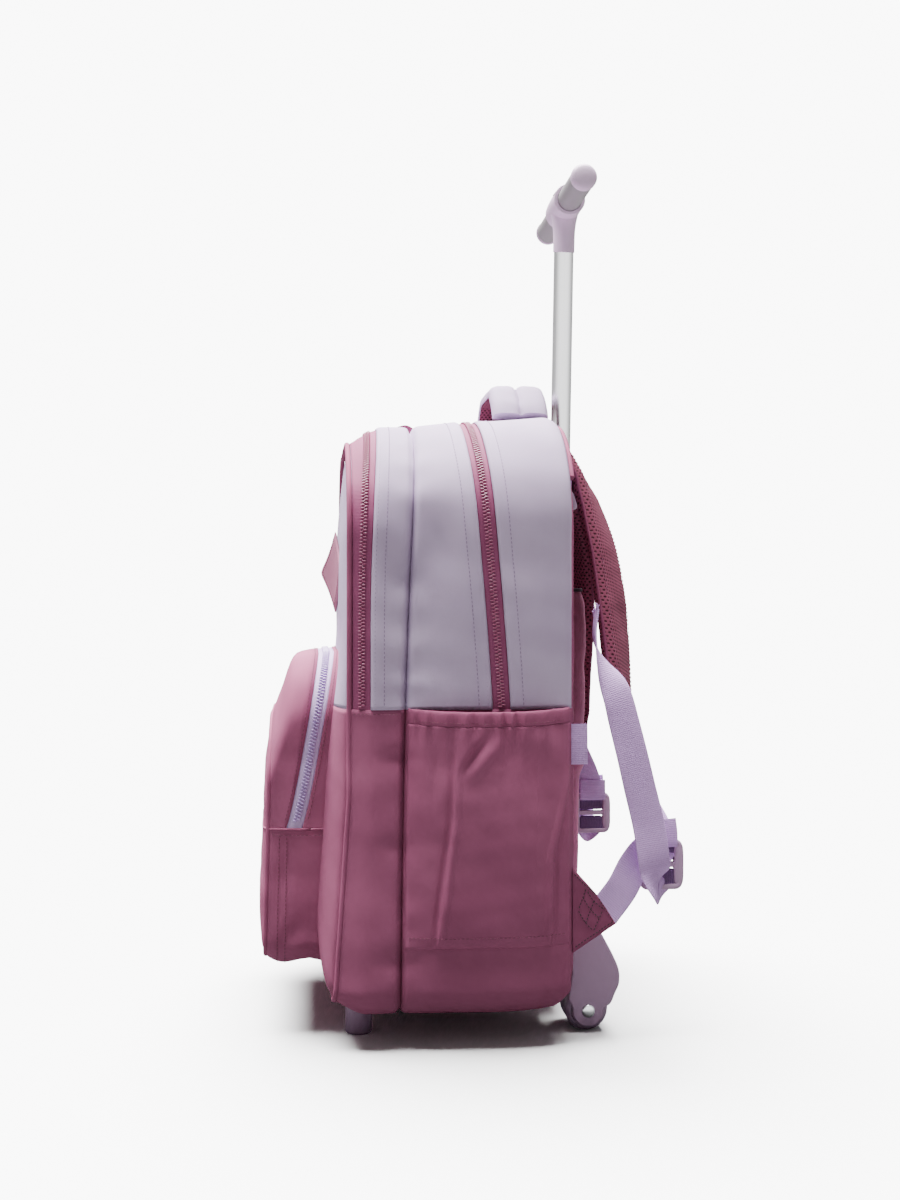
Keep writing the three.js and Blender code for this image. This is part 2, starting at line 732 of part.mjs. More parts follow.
function buildMast() {
  const outerInner = outerTubeRadius - tubeWall;
  const tubeRadius = outerInner - tubeFit;
  const outerLength = (outerTubeTopZ - outerTubeLowZ) / Math.cos(radians(mastLean));
  const outerTube = tube(outerLength, outerTubeRadius, outerInner);
  place(onMast(outerTubeLowZ), 'outer_tube', outerTube, metal(colour.tube));

  const footing = channelHalfWidth - gap;
  const passage = leaningCylinder(outerTubeRadius + gap);
  const collar = toSolid(box(
    -footing, footing, gap, mastY(outerTubeTopZ) + collarDepth, outerTubeTopZ - collarHeight, outerTubeTopZ,
  )).subtract(passage);
  place(bag, 'mast_collar', toGeometry(collar), plastic(colour.plastic));

  const heelLow = outerTubeLowZ - gap - heelFloor;
  const heelBack = mastY(heelLow) + outerTubeRadius - gap;
  const heelBlock = toSolid(box(-footing, footing, gap, heelBack, heelLow, heelLow + heelHeight));
  const bore = passage.intersect(toSolid(box(-reach, reach, -reach, reach, outerTubeLowZ - gap, reach * 2)));
  place(bag, 'mast_heel', toGeometry(heelBlock.subtract(bore)), plastic(colour.plastic));

  const head = onMast(mastTubeTopZ);
  const mastTube = tube(mastTubeLength, tubeRadius, tubeRadius - tubeWall);
  place(head, 'mast_tube', mastTube, metal(colour.tube)).position.z = -mastTubeLength;

  const spigot = tubeRadius - tubeWall - gap;
  const stemTop = gripRise - socketRadius / 2;
  const stem = toSolid(turnedUpright([
    [-spigotLength, 0], [-spigotLength, spigot], [gap, spigot], [gap, tubeRadius + stemStep],
    [stemLength * 0.5, tubeRadius + stemStep * 1.3], [stemTop, tubeRadius + stemFlare], [stemTop, 0],
  ], tubeSides));
  const socket = toSolid(turnedAlongX([
    [-socketHalfLength, 0], [-socketHalfLength, socketRadius - 1], [0, socketRadius],
    [socketHalfLength, socketRadius - 1], [socketHalfLength, 0],
  ], tubeSides).translate(0, 0, gripRise));
  const boreRadius = gripRadius + gap;
  const gripBore = toSolid(turnedAlongX([
    [-reach, 0], [-reach, boreRadius], [reach, boreRadius], [reach, 0],
  ], tubeSides).translate(0, 0, gripRise));
  const screw = new THREE.CylinderGeometry(screwRadius, screwRadius, screwDepth * 2, tubeSides / 2);
  const screwHole = toSolid(screw.translate(0, -socketRadius, 0)
    .rotateX(Math.PI / 2 + radians(screwTilt)).translate(socketHalfLength * 0.55, 0, gripRise));
  const joint = stem.add(socket).subtract(gripBore).subtract(screwHole);
  place(head, 'grip_joint', toGeometry(joint), plastic(colour.plastic));

  const bar = place(head, 'grip_bar', turnedAlongX([
    [-gripHalfLength, 0], [-gripHalfLength, gripRadius], [gripHalfLength, gripRadius], [gripHalfLength, 0],
  ], tubeSides), plastic(colour.grip));
  bar.position.z = gripRise;
  for (const [name, side] of [['right', 1], ['left', -1]]) {
    const cap = turnedAlongX([
      [0, 0], [0, gripCapRadius], [gripCapLength / 2, gripCapRadius],
      [gripCapLength * 0.9, gripCapRadius * 0.75], [gripCapLength, 0],
    ], tubeSides);
    const mesh = place(head, `grip_cap_${name}`, cap, plastic(colour.plastic));
    mesh.position.set(side * (gripHalfLength + gap), 0, gripRise);
    if (side < 0) mesh.rotation.z = Math.PI;
  }
}

// A flat or padded strap along its route; face is the way its broad side looks, in degrees from +x to +y
function strapAlong(route, width, thickness, steps, round) {
  const curve = new THREE.CatmullRomCurve3(route.map((row) => row.point), false, 'centripetal');
  const rings = [];
  for (let i = 0; i <= steps; i += 1) {
    const t = i / steps;
    const centre = curve.getPoint(t);
    const along = curve.getTangent(t);
    const travelled = t * (route.length - 1);
    const row = Math.min(Math.floor(travelled), route.length - 2);
    const face = radians(lerp(route[row].face, route[row + 1].face, travelled - row));
    const normal = new THREE.Vector3(Math.cos(face), Math.sin(face), 0);
    normal.addScaledVector(along, -normal.dot(along)).normalize();
    const across = along.clone().cross(normal).normalize();
    const ring = [];
    const sides = round ? 10 : 4;
    for (let s = 0; s < sides; s += 1) {
      const angle = (s / sides) * Math.PI * 2 + (round ? 0 : Math.PI / 4);
      const power = round ? 0.55 : 0;
      const c = Math.cos(angle);
      const d = Math.sin(angle);
      ring.push(centre.clone()
        .addScaledVector(across, Math.sign(c) * Math.abs(c) ** power * width / 2)
        .addScaledVector(normal, Math.sign(d) * Math.abs(d) ** power * thickness / 2));
    }
    rings.push(ring);
  }
  return loft(rings);
}

// Where the buckle hangs, and where the webbing meets the tab
const buckleY = webbingReach + buckleSetback;
const tabEnd = { low: [tabReach, 0.34], high: [tabReach * 0.53, 0.69] };
const tabFace = new THREE.Vector2(
  lerp(tabLowZ, tabTopZ, tabEnd.high[1]) - lerp(tabLowZ, tabTopZ, tabEnd.low[1]),
  tabEnd.low[0] - tabEnd.high[0],
).normalize();

function tabOutline(shift) {
  const y = shift * tabFace.x;
  const z = shift * tabFace.y;
  return [
    [gap, tabTopZ], [gap, tabLowZ],
    [tabEnd.low[0] + y, lerp(tabLowZ, tabTopZ, tabEnd.low[1]) + z],
    [tabEnd.high[0] + y, lerp(tabLowZ, tabTopZ, tabEnd.high[1]) + z],
  ];
}

function routePoint(x, y, z, face) {
  return { point: new THREE.Vector3(x, y, z), face };
}

// From the pad's end down to the buckle's top
function linkRoute(padEnd) {
  const top = buckleZ + buckleHeight / 2;
  return linkRows.map((row) => routePoint(
    lerp(padEnd.x, buckleX, row.across), lerp(padEnd.y, buckleY, row.back), lerp(padEndZ, top, row.down), row.face,
  ));
}

// From inside the tab's end, up and back to the buckle's middle
function lowerRoute() {
  const startY = (tabEnd.low[0] + tabEnd.high[0]) / 2;
  const startZ = lerp(tabLowZ, tabTopZ, (tabEnd.low[1] + tabEnd.high[1]) / 2);
  const topZ = buckleZ + buckleHeight * 0.34;
  const facing = buckleX + buckleThickness / 2 + webbingThickness;
  const between = (x, shareY, shareZ, face) => routePoint(
    x, lerp(startY, buckleY, shareY), lerp(startZ, topZ, shareZ), face,
  );
  return [
    between(tabX + tabThickness / 2, -0.06, -0.09, 0),
    between(tabX - 1, 0.27, 0.34, 4),
    between(lerp(tabX, facing, 0.6), 0.5, 0.74, 8),
    between(facing + 2, 0.72, 0.98, 8),
    between(facing - webbingThickness, 0.98, 0.95, 2),
  ];
}

// The tail turns up round its fold below the buckle and ends, cut, by the back panel
function tailRoute() {
  const outside = tabX + tabThickness;
  const at = (x, out, up, face) => routePoint(x, webbingReach * out, lerp(tailFoldZ, tailTopZ, up), face);
  return [
    routePoint(buckleX, buckleY, buckleZ - buckleHeight * 0.46, 0),
    at((buckleX + outside) / 2, 1.07, -0.03, 70),
    at(outside, 1, 0.06, 8),
    at(outside, 0.92, 0.22, 6),
    at(outside, 0.81, 0.36, 8),
    at(outside, 0.7, 0.5, 12),
    at(outside, 0.62, 0.6, 20),
    at(outside - 1, 0.54, 0.7, 36),
    at(outside - 6, 0.38, 0.82, 62),
    at(outside - 11, 0.31, 0.91, 80),
    at(outside - 14, 0.33, 1, 84),
  ];
}

// A ladder buckle: an upright plate across x with two slots between three bars
function buckleGeometry() {
  const wide = buckleWidth / 2;
  const high = buckleHeight / 2;
  const soft = buckleBar * 0.8;
  const frame = new THREE.Shape();
  frame.absarc(wide - soft, -high + soft, soft, -Math.PI / 2, 0);
  frame.absarc(wide - soft, high - soft, soft, 0, Math.PI / 2);
  frame.absarc(-wide + soft, high - soft, soft, Math.PI / 2, Math.PI);
  frame.absarc(-wide + soft, -high + soft, soft, Math.PI, Math.PI * 1.5);
  const slotHeight = (buckleHeight - 3 * buckleBar) / 2;
  for (const side of [-1, 1]) {
    const middle = side * (slotHeight + buckleBar) / 2;
    const slot = new THREE.Path();
    slot.moveTo(-wide + buckleBar, middle - slotHeight / 2);
    slot.lineTo(-wide + buckleBar, middle + slotHeight / 2);
    slot.lineTo(wide - buckleBar, middle + slotHeight / 2);
    slot.lineTo(wide - buckleBar, middle - slotHeight / 2);
    slot.closePath();
    frame.holes.push(slot);
  }
  const plate = new THREE.ExtrudeGeometry(frame, {
    depth: buckleThickness, bevelEnabled: false, curveSegments: 3,
  });
  plate.translate(0, 0, -buckleThickness / 2);
  return plate.applyMatrix4(sideways).translate(buckleX, buckleY, buckleZ);
}

function buildStrap(parent, name) {
  const pad = padRoute.map((row) => routePoint(
    bagHalfWidth * row.across, padReach * row.out, lerp(padTopZ, padEndZ, row.drop), row.face,
  ));
  const seat = panelCrown + yokeThickness + gap * 2;
  const behindSeat = toSolid(box(-reach, reach, -reach, seat, -reach, reach * 2));
  const padSolid = toSolid(strapAlong(pad, padWidth, padThickness, 8, true));
  place(parent, `strap_pad_${name}`, toGeometry(padSolid.subtract(behindSeat)), cloth(colour.mesh));
  place(parent, `buckle_${name}`, buckleGeometry(), plastic(colour.plastic));
  const tab = sideExtrusion(tabOutline(0), tabX, tabX + tabThickness);
  place(parent, `strap_tab_${name}`, tab, cloth(colour.mauveCloth));

  const clearOfTab = toSolid(sideExtrusion(tabOutline(gap), tabX - gap, tabX + tabThickness + gap));
  const clearOfBuckle = toSolid(box(
    buckleX - buckleThickness / 2 - gap, buckleX + buckleThickness / 2 + gap,
    buckleY - buckleWidth / 2 - gap, buckleY + buckleWidth / 2 + gap,
    buckleZ - buckleHeight / 2 - gap, buckleZ + buckleHeight / 2 + gap,
  ));
  const webbings = [
    ['link', linkRoute(pad[pad.length - 1].point), 7],
    ['lower', lowerRoute(), 9],
    ['tail', tailRoute(), 20],
  ];
  const padBlock = padSolid.translate(0, 0, -gap);
  for (const [part, route, steps] of webbings) {
    const band = toSolid(strapAlong(route, webbingWidth, webbingThickness, steps, false));
    const trimmed = band.subtract(clearOfTab).subtract(clearOfBuckle).subtract(padBlock);
    place(parent, `${part}_webbing_${name}`, toGeometry(largestPart(trimmed)), cloth(colour.webbing));
  }
}

// Carry handle: a padded arch with a lining under it
function buildHandle() {
  const foot = mainTopZ + topLift * (1 - handleSetback / mainDepth) + gap;
  const steps = 8;
  const middle = (i) => {
    const share = clamp(i / steps, 0, 1);
    const bend = Math.min(1, 1.3 * Math.sin(Math.PI * share) ** 0.7);
    return new THREE.Vector2(lerp(-handleHalfSpan, handleHalfSpan, share), foot + handleRise * bend);
  };
  const band = (low, high, width) => {
    const rings = [];
    for (let i = 0; i <= steps; i += 1) {
      const along = middle(i + 0.5).sub(middle(i - 0.5)).normalize();
      const at = (across, height) => new THREE.Vector3(
        middle(i).x - along.y * height, across * width - handleSetback, middle(i).y + along.x * height,
      );
      const over = handleLobes.map((row) => at(row.across, lerp(low, high, row.high)));
      rings.push([at(0, low), at(-0.5, low), ...over, at(0.5, low)]);
    }
    return toSolid(loft(rings)).subtract(toSolid(box(-reach, reach, -reach, reach, 0, foot)));
  };
  const padded = band(handleLining + gap, handleThickness, handleWidth);
  const lining = band(0, handleLining, handleWidth - handleLining);
  place(bag, 'carry_handle', toGeometry(largestPart(padded)), cloth(colour.lilacCloth));
  place(bag, 'handle_lining', toGeometry(largestPart(lining)), cloth(colour.mesh));
}

function buildWheel(parent, name) {
  const centreX = wheelOuterX - wheelWidth / 2;
  const half = wheelWidth / 2;
  const bore = axleRadius + axleFit;
  const wheel = turnedAlongX([
    [-half, bore], [-half, wheelRadius * 0.6], [-half + 1, wheelRadius * 0.86],
    [-half * 0.75, wheelRadius], [half * 0.75, wheelRadius],
    [half - 1, wheelRadius * 0.86], [half, wheelRadius * 0.6], [half, bore], [-half, bore],
  ], wheelSides);
  const turning = place(parent, `wheel_${name}`, wheel, plastic(colour.plastic));
  turning.position.set(centreX, wheelBack, wheelRadius);

  const inside = half + housingClearance;
  const outside = inside + housingWall;
  const headInside = outside + gap;
  const headOutside = outside + rivetHeight;
  const domeRadius = rivetRadius * 0.7;
  const pin = turnedAlongX([
    [-headOutside, 0], [-headOutside, domeRadius], [-headInside, rivetRadius], [-headInside, axleRadius],
    [headInside, axleRadius], [headInside, rivetRadius], [headOutside, domeRadius], [headOutside, 0],
  ], axleSides);
  const axle = place(parent, `axle_${name}`, pin, metal(colour.steel));
  axle.position.set(centreX, wheelBack, wheelRadius);

  // Side view of the housing: down the bag's back, round the wheel, and up over its rear
  const front = panelCrown + gap;
  const outline = (inset) => {
    const at = (y, row) => [y, (housingTopZ - inset) * row.up];
    const tongue = tongueRadius - inset;
    const round = [];
    for (let i = 0; i <= tongueSteps; i += 1) {
      const angle = Math.PI * (1 + i / tongueSteps);
      round.push([wheelBack + tongue * Math.cos(angle), wheelRadius + tongue * Math.sin(angle)]);
    }
    return [
      ...housingFront.map((row) => at(front * row.out + inset, row)),
      ...round,
      ...housingRear.map((row) => at(housingBulge * row.out - inset, row)),
    ];
  };
  const block = toSolid(sideExtrusion(outline(0), centreX - outside, centreX + outside));
  const cavity = toSolid(sideExtrusion(outline(housingWall), centreX - inside, centreX + inside));
  const wellRadius = wheelRadius + housingClearance;
  const well = toSolid(turnedAlongX([
    [-inside, 0], [-inside, wellRadius], [inside, wellRadius], [inside, 0],
  ], wheelSides).translate(centreX, wheelBack, wheelRadius));
  const mouth = toSolid(box(
    centreX - inside, centreX + inside, wheelBack - wellRadius, wheelBack + wellRadius, -reach, wheelRadius,
  ));
  const axleHole = toSolid(turnedAlongX([
    [-reach, 0], [-reach, axleRadius + gap], [reach, axleRadius + gap], [reach, 0],
  ], axleSides).translate(0, wheelBack, wheelRadius));
  const housing = block.subtract(cavity).subtract(well).subtract(mouth).subtract(axleHole);
  place(parent, `wheel_housing_${name}`, toGeometry(largestPart(housing)), plastic(colour.plastic));

  const foot = turnedUpright([
    [0, 0], [0, footRadius - 2], [2, footRadius], [baseZ - gap, footRadius], [baseZ - gap, 0],
  ], tubeSides);
  place(parent, `foot_${name}`, foot, plastic(colour.plastic)).position.set(footX, -mainDepth - footAhead, 0);
}

// Patch, label and tabs
function buildTrim(grownBag) {
  const steps = 8;
  const rings = [];
  for (let i = 0; i <= steps; i += 1) {
    const share = i / steps;
    const x = lerp(patchHalf, -patchHalf, share);
    const tall = Math.max(patchHalf - Math.abs(x), 1.2);
    const curl = patchCurl * share ** 2;
    const rear = frontFaceY(patchZ) - gap - curl;
    rings.push([
      new THREE.Vector3(x, rear, patchZ - tall), new THREE.Vector3(x, rear, patchZ + tall),
      new THREE.Vector3(x, rear - patchThickness, patchZ + tall),
      new THREE.Vector3(x, rear - patchThickness, patchZ - tall),
    ]);
  }
  place(bag, 'front_patch', loft(rings), cloth(colour.piping));

  const labelX = bagHalfWidth - edgeRoll * bagRows[0].side - 1;
  place(bag, 'side_label', box(
    labelX - labelThickness, labelX, gap, labelReach, labelLowZ, labelTopZ,
  ), cloth(colour.webbing));

  const tabY = pinchY(mainTopZ);
  const half = topTabWidth / 2;
  const loop = (drawIn) => {
    const points = [];
    for (let i = 0; i <= 8; i += 1) {
      const angle = Math.PI * (1 - i / 8);
      points.push([
        tabY + (half - drawIn) * Math.cos(angle), mainTopZ + (topTabRise - drawIn) * Math.sin(angle),
      ]);
    }
    return points;
  };
  const arch = sideExtrusion([
    [tabY - half, mainTopZ - edgeRoll], ...loop(0), [tabY + half, mainTopZ - edgeRoll],
    [tabY + half - topTabThickness, mainTopZ - edgeRoll], ...loop(topTabThickness).reverse(),
    [tabY - half + topTabThickness, mainTopZ - edgeRoll],
  ], -topTabAcross / 2, topTabAcross / 2);
  place(bag, 'top_tab', toGeometry(largestPart(toSolid(arch).subtract(grownBag))), cloth(colour.mauveCloth));
}

const grown = bagSkin(-gap);
buildBody();
buildBackPanel();
buildPocket(grown);
buildMastCover();
buildMast();
buildHandle();
for (const [name, side] of [['right', 1], ['left', -1]]) {
  const half = new THREE.Group();
  half.scale.x = side;
  bag.add(half);
  buildSidePocket(half, name, grown);
  buildStrap(half, name);
  buildWheel(half, name);
}
buildTrim(grown);

// Centre the finished bag over the origin, standing on z = 0
const bounds = new THREE.Box3().setFromObject(bag, true);
bag.position.set(0, -(bounds.min.y + bounds.max.y) / 2, -bounds.min.z);
const group = new THREE.Group();
group.add(bag);
export default group;
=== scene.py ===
# A wheeled school backpack in lilac and mauve cloth, with its straps, mast, T handle and wheels.
# Shapes are worked out in millimetres with y = 0 on the plane of the back panel, the front at -y.
import math
import bmesh
import bpy
import numpy as np
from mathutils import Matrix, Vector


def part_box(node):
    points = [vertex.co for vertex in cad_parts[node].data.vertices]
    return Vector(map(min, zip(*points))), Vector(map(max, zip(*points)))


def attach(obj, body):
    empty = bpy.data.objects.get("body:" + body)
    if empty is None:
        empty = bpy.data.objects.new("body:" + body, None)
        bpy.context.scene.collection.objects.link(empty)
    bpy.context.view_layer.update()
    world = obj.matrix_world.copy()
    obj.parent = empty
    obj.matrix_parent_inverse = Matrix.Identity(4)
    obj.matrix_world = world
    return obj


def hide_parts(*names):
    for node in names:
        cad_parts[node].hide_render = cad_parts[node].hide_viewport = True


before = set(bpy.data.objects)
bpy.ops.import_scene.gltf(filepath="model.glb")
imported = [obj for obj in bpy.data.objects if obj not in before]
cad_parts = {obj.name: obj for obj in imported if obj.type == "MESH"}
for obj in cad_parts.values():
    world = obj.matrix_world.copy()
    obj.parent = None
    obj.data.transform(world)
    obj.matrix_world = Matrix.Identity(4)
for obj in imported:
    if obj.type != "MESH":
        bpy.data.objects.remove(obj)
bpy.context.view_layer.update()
wheelBack = 18  # the axle stands this far behind the back plane
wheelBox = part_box("wheel_right")
yShift = (wheelBox[0][1] + wheelBox[1][1]) * 500 - wheelBack
print("stage: frame loaded")

# Camera as the photo was taken: almost side-on, level, one metre off
photoCamera = {"place": (1.150, -0.1218, 0.3299), "yaw": 84.2, "lens": 41.37}
cameraData = bpy.data.cameras.new("photoCamera")
cameraData.lens = photoCamera["lens"]
cameraObject = bpy.data.objects.new("photoCamera", cameraData)
cameraObject.location = photoCamera["place"]
cameraObject.rotation_euler = (math.radians(90), 0, math.radians(photoCamera["yaw"]))
bpy.context.scene.collection.objects.link(cameraObject)
bpy.context.scene.camera = cameraObject


def mix(a, b, share):  # from a to b by a share of the way
    return a + (b - a) * share


def stack(x, y, z):  # three arrays of one shape into points
    return np.stack(np.broadcast_arrays(x, y, z), -1).astype(float)


def unit(v):  # arrows of length 1
    return v / np.maximum(np.linalg.norm(v, axis=-1, keepdims=True), 1e-9)


def smoothLine(x, xs, ys):  # cubic pieces through (xs, ys); slopes are harmonic means, so nothing overshoots
    xs, ys = np.asarray(xs, float), np.asarray(ys, float)
    d = np.diff(ys) / np.diff(xs)
    m = np.zeros_like(ys)
    same = d[:-1] * d[1:] > 0
    m[1:-1] = np.where(same, 2 * d[:-1] * d[1:] / np.where(same, d[:-1] + d[1:], 1), 0)
    m[0], m[-1] = d[0], d[-1]
    x = np.clip(x, xs[0], xs[-1])
    k = np.clip(np.searchsorted(xs, x) - 1, 0, len(xs) - 2)
    h = xs[k + 1] - xs[k]
    t = (x - xs[k]) / h
    return ((2 * t**3 - 3 * t**2 + 1) * ys[k] + (t**3 - 2 * t**2 + t) * h * m[k]
            + (3 * t**2 - 2 * t**3) * ys[k + 1] + (t**3 - t**2) * h * m[k + 1])


def column(rows, name):
    return [row[name] for row in rows]


def readRows(rows, at, *names):  # the named columns of a table, read at places in its first column
    first = list(rows[0])[0]
    return [smoothLine(at, column(rows, first), column(rows, name)) for name in names]


def softPower(w, power):  # |w| to a power with w's sign: a cosine made boxier
    return np.sign(w) * np.abs(w) ** power


def bell(d, width):  # 1 at d = 0, falling as a Gauss curve of that width
    return np.exp(-(d / width) ** 2)


def step(x, start, end):  # 0 before start, 1 after end, cubic between
    t = np.clip((x - start) / (end - start), 0, 1)
    return t * t * (3 - 2 * t)


def crumple(points, size, phase):  # seven plane waves of about that length, each turned by the golden angle
    total = 0
    for k in range(7):
        a, b = 2.4 * k + phase, 1.1 * k + 0.7 * phase
        way = np.array([math.cos(a) * math.cos(b), math.sin(a) * math.cos(b), math.sin(b)])
        total = total + np.sin(points @ way * (2 * math.pi / (size * (0.75 + 0.09 * k))) + 3.1 * k + phase)
    return total / 3.5


def grid(points, wrap=False, flip=False, slot=0):  # faces between rows and columns, UV in mm along both
    rows, cols = points.shape[:2]
    index = np.arange(rows * cols).reshape(rows, cols)
    laid = points
    if wrap:
        index = np.concatenate([index, index[:, :1]], 1)
        laid = np.concatenate([points, points[:, :1]], 1)
    u = np.zeros(laid.shape[:2])
    v = np.zeros(laid.shape[:2])
    u[:, 1:] = np.cumsum(np.linalg.norm(np.diff(laid, axis=1), axis=-1), 1)
    v[1:] = np.cumsum(np.linalg.norm(np.diff(laid, axis=0), axis=-1), 0)
    uv = np.stack([u - u[:, -1:] / 2, v], -1)

    def corners(a):
        quads = np.stack([a[:-1, :-1], a[:-1, 1:], a[1:, 1:], a[1:, :-1]], 2)
        quads = quads.reshape((-1, 4) + a.shape[2:])
        return quads[:, ::-1] if flip else quads
    return {"points": points.reshape(-1, 3), "faces": corners(index), "uv": corners(uv), "slot": slot}


def fan(ring, centre, flip=False):  # triangles from a closed ring to one point
    n = len(ring)
    i = np.arange(n)
    faces = np.stack([i, (i + 1) % n, np.full(n, n)], 1)
    if flip:
        faces = faces[:, ::-1]
    points = np.concatenate([ring, np.asarray(centre, float).reshape(1, 3)])
    return {"points": points, "faces": faces, "uv": points[faces][..., [0, 2]], "slot": 0}


def loft(rings):  # a closed body: rings joined in turn, each end drawn to its middle
    rings = np.asarray(rings, float)
    return [grid(rings, wrap=True), fan(rings[0], rings[0].mean(0), flip=True),
            fan(rings[-1], rings[-1].mean(0))]


def volume(points, faces):
    a, b, c = (points[faces[:, k]] for k in (0, 1, 2))
    total = np.einsum("ij,ij->", a, np.cross(b, c))
    if faces.shape[1] == 4:
        total += np.einsum("ij,ij->", a, np.cross(c, points[faces[:, 3]]))
    return total


def outward(parts):  # turns every face of a closed body where it faces in
    middle = np.mean([p["points"].mean(0) for p in parts], 0)
    if sum(volume(p["points"] - middle, p["faces"]) for p in parts) < 0:
        for p in parts:
            p["faces"], p["uv"] = p["faces"][:, ::-1], p["uv"][:, ::-1]
    return parts


def mirrored(parts):  # the same piece on the other side
    result = []
    for p in parts:
        result.append({**p, "points": p["points"] * [-1, 1, 1], "faces": p["faces"][:, ::-1],
                       "uv": p["uv"][:, ::-1]})
    return result


def closedGrid(rings):  # rings joined in turn and the last to the first: a hoop
    return outward([grid(np.concatenate([rings, rings[:1]]), wrap=True)])


def travelled(path):  # the length walked at each point of a path
    return np.concatenate([[0], np.cumsum(np.linalg.norm(np.diff(path, axis=0), axis=1))])


def mappedLoft(rings, e, path):  # a loft whose UV map holds e across and the path's length along, in mm
    parts = loft(rings)
    flat = np.stack(np.broadcast_arrays(e, travelled(path)[:, None]), -1)
    corner = np.concatenate([flat, flat[:, :1]], 1)
    quads = np.stack([corner[:-1, :-1], corner[:-1, 1:], corner[1:, 1:], corner[1:, :-1]], 2)
    parts[0]["uv"] = quads.reshape(-1, 4, 2)
    return outward(parts)


def circle(sides):  # angles evenly round a circle
    return np.linspace(0, 2 * math.pi, sides, endpoint=False)


def build(name, parts, finishes, body="bag", slot=None, nodes=(), weld=False, wall=0, crease=0):
    points = np.concatenate([p["points"] for p in parts])
    start = np.cumsum([0] + [len(p["points"]) for p in parts])
    loops = np.concatenate([(p["faces"] + s).ravel() for p, s in zip(parts, start)])
    sizes = np.concatenate([np.full(len(p["faces"]), p["faces"].shape[1]) for p in parts])
    uv = np.concatenate([p["uv"].reshape(-1, 2) for p in parts])
    slots = np.concatenate([np.full(len(p["faces"]), p["slot"]) for p in parts])
    mesh = bpy.data.meshes.new(name)
    mesh.vertices.add(len(points))
    mesh.vertices.foreach_set("co", ((points + [0, yShift, 0]) / 1000).ravel())
    mesh.loops.add(len(loops))
    mesh.loops.foreach_set("vertex_index", loops.astype(np.int32))
    mesh.polygons.add(len(sizes))
    mesh.polygons.foreach_set("loop_start", np.concatenate([[0], np.cumsum(sizes)[:-1]]).astype(np.int32))
    mesh.polygons.foreach_set("material_index", slots.astype(np.int32))
    mesh.uv_layers.new(name="clothMap").data.foreach_set("uv", uv.ravel())
    mesh.update(calc_edges=True)
    mesh.validate()
    if weld:
        soft = bmesh.new()
        soft.from_mesh(mesh)
        bmesh.ops.remove_doubles(soft, verts=soft.verts, dist=2e-6)
        soft.to_mesh(mesh)
        soft.free()
    mesh.shade_smooth()
    if crease:
        mesh.set_sharp_from_angle(angle=math.radians(crease))
    for finish in finishes:
        mesh.materials.append(finish)
    piece = bpy.data.objects.new(name, mesh)
    bpy.context.scene.collection.objects.link(piece)
    if wall:
        solid = piece.modifiers.new("clothWall", "SOLIDIFY")
        solid.thickness = wall / 1000
        solid.offset = -1
    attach(piece, body)
    if nodes:
        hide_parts(*nodes)
    return piece


def bothSides(name, parts, finishes, **more):  # a piece and its mirror image, each with its side's nodes
    slot, nodes = more.pop("slot", None), more.pop("nodes", [])
    for side, shape in (("right", parts), ("left", mirrored(parts))):
        own = [f"{node}_{side}" for node in nodes]
        build(f"{name}_{side}", shape, finishes, slot=slot, nodes=own, **more)


def repeat(shape, places, along, up):  # a small shape at each place, its x along and its z up
    along = unit(along)
    side = unit(np.cross(up, along))
    up = np.cross(along, side)
    turn = np.stack([along, side, up], -1)
    points = places[:, None] + np.einsum("nij,kj->nki", turn, shape["points"])
    n, k = len(places), len(shape["points"])
    faces = (shape["faces"][None] + (np.arange(n) * k)[:, None, None]).reshape(-1, shape["faces"].shape[1])
    return {"points": points.reshape(-1, 3), "faces": faces,
            "uv": np.zeros(faces.shape + (2,)), "slot": shape.get("slot", 0)}


def evenly(path, pitch, offset=0.0):  # places a pitch apart along a path, as fractional indices
    length = travelled(path)
    count = max(int((length[-1] - offset) / pitch), 1)
    wanted = offset + (np.arange(count) + 0.5) * pitch
    return np.interp(wanted, length, np.arange(len(path)))


def pick(values, where):  # values between rows, read at fractional indices
    low = np.clip(np.floor(where).astype(int), 0, len(values) - 2)
    share = (where - low)[:, None]
    return values[low] * (1 - share) + values[low + 1] * share


def alongRow(shape, path, up, pitch):  # the shape repeated along a path
    where = evenly(path, pitch)
    tangent = np.gradient(path, axis=0)
    return repeat(shape, pick(path, where), pick(tangent, where), pick(up, where))


def pebble(length, width, height, power=0.8):  # a rounded bead, its poles on the x axis
    sides = 6
    t = np.linspace(0, math.pi, 5)[:, None]
    a = circle(sides)
    r = np.sin(t) ** power
    ring = stack(-np.cos(t) * length / 2, r * np.cos(a) * width / 2, r * np.sin(a) * height / 2)[1:-1]
    points = np.concatenate([ring.reshape(-1, 3), [[-length / 2, 0, 0], [length / 2, 0, 0]]])
    n = 3 * sides
    i = np.arange(sides)
    j = (i + 1) % sides
    quads = np.concatenate([np.stack([i, j, j + sides, i + sides], 1) + k * sides for k in (0, 1)])
    first = np.stack([np.full(sides, n), j, i], 1)
    last = np.stack([np.full(sides, n + 1), i + 2 * sides, j + 2 * sides], 1)
    return points, quads, np.concatenate([first, last])


def beadParts(path, up, pitch, length, width, height):
    points, quads, tris = pebble(length, width, height)
    return [alongRow({"points": points, "faces": f}, path, up, pitch) for f in (quads, tris)]


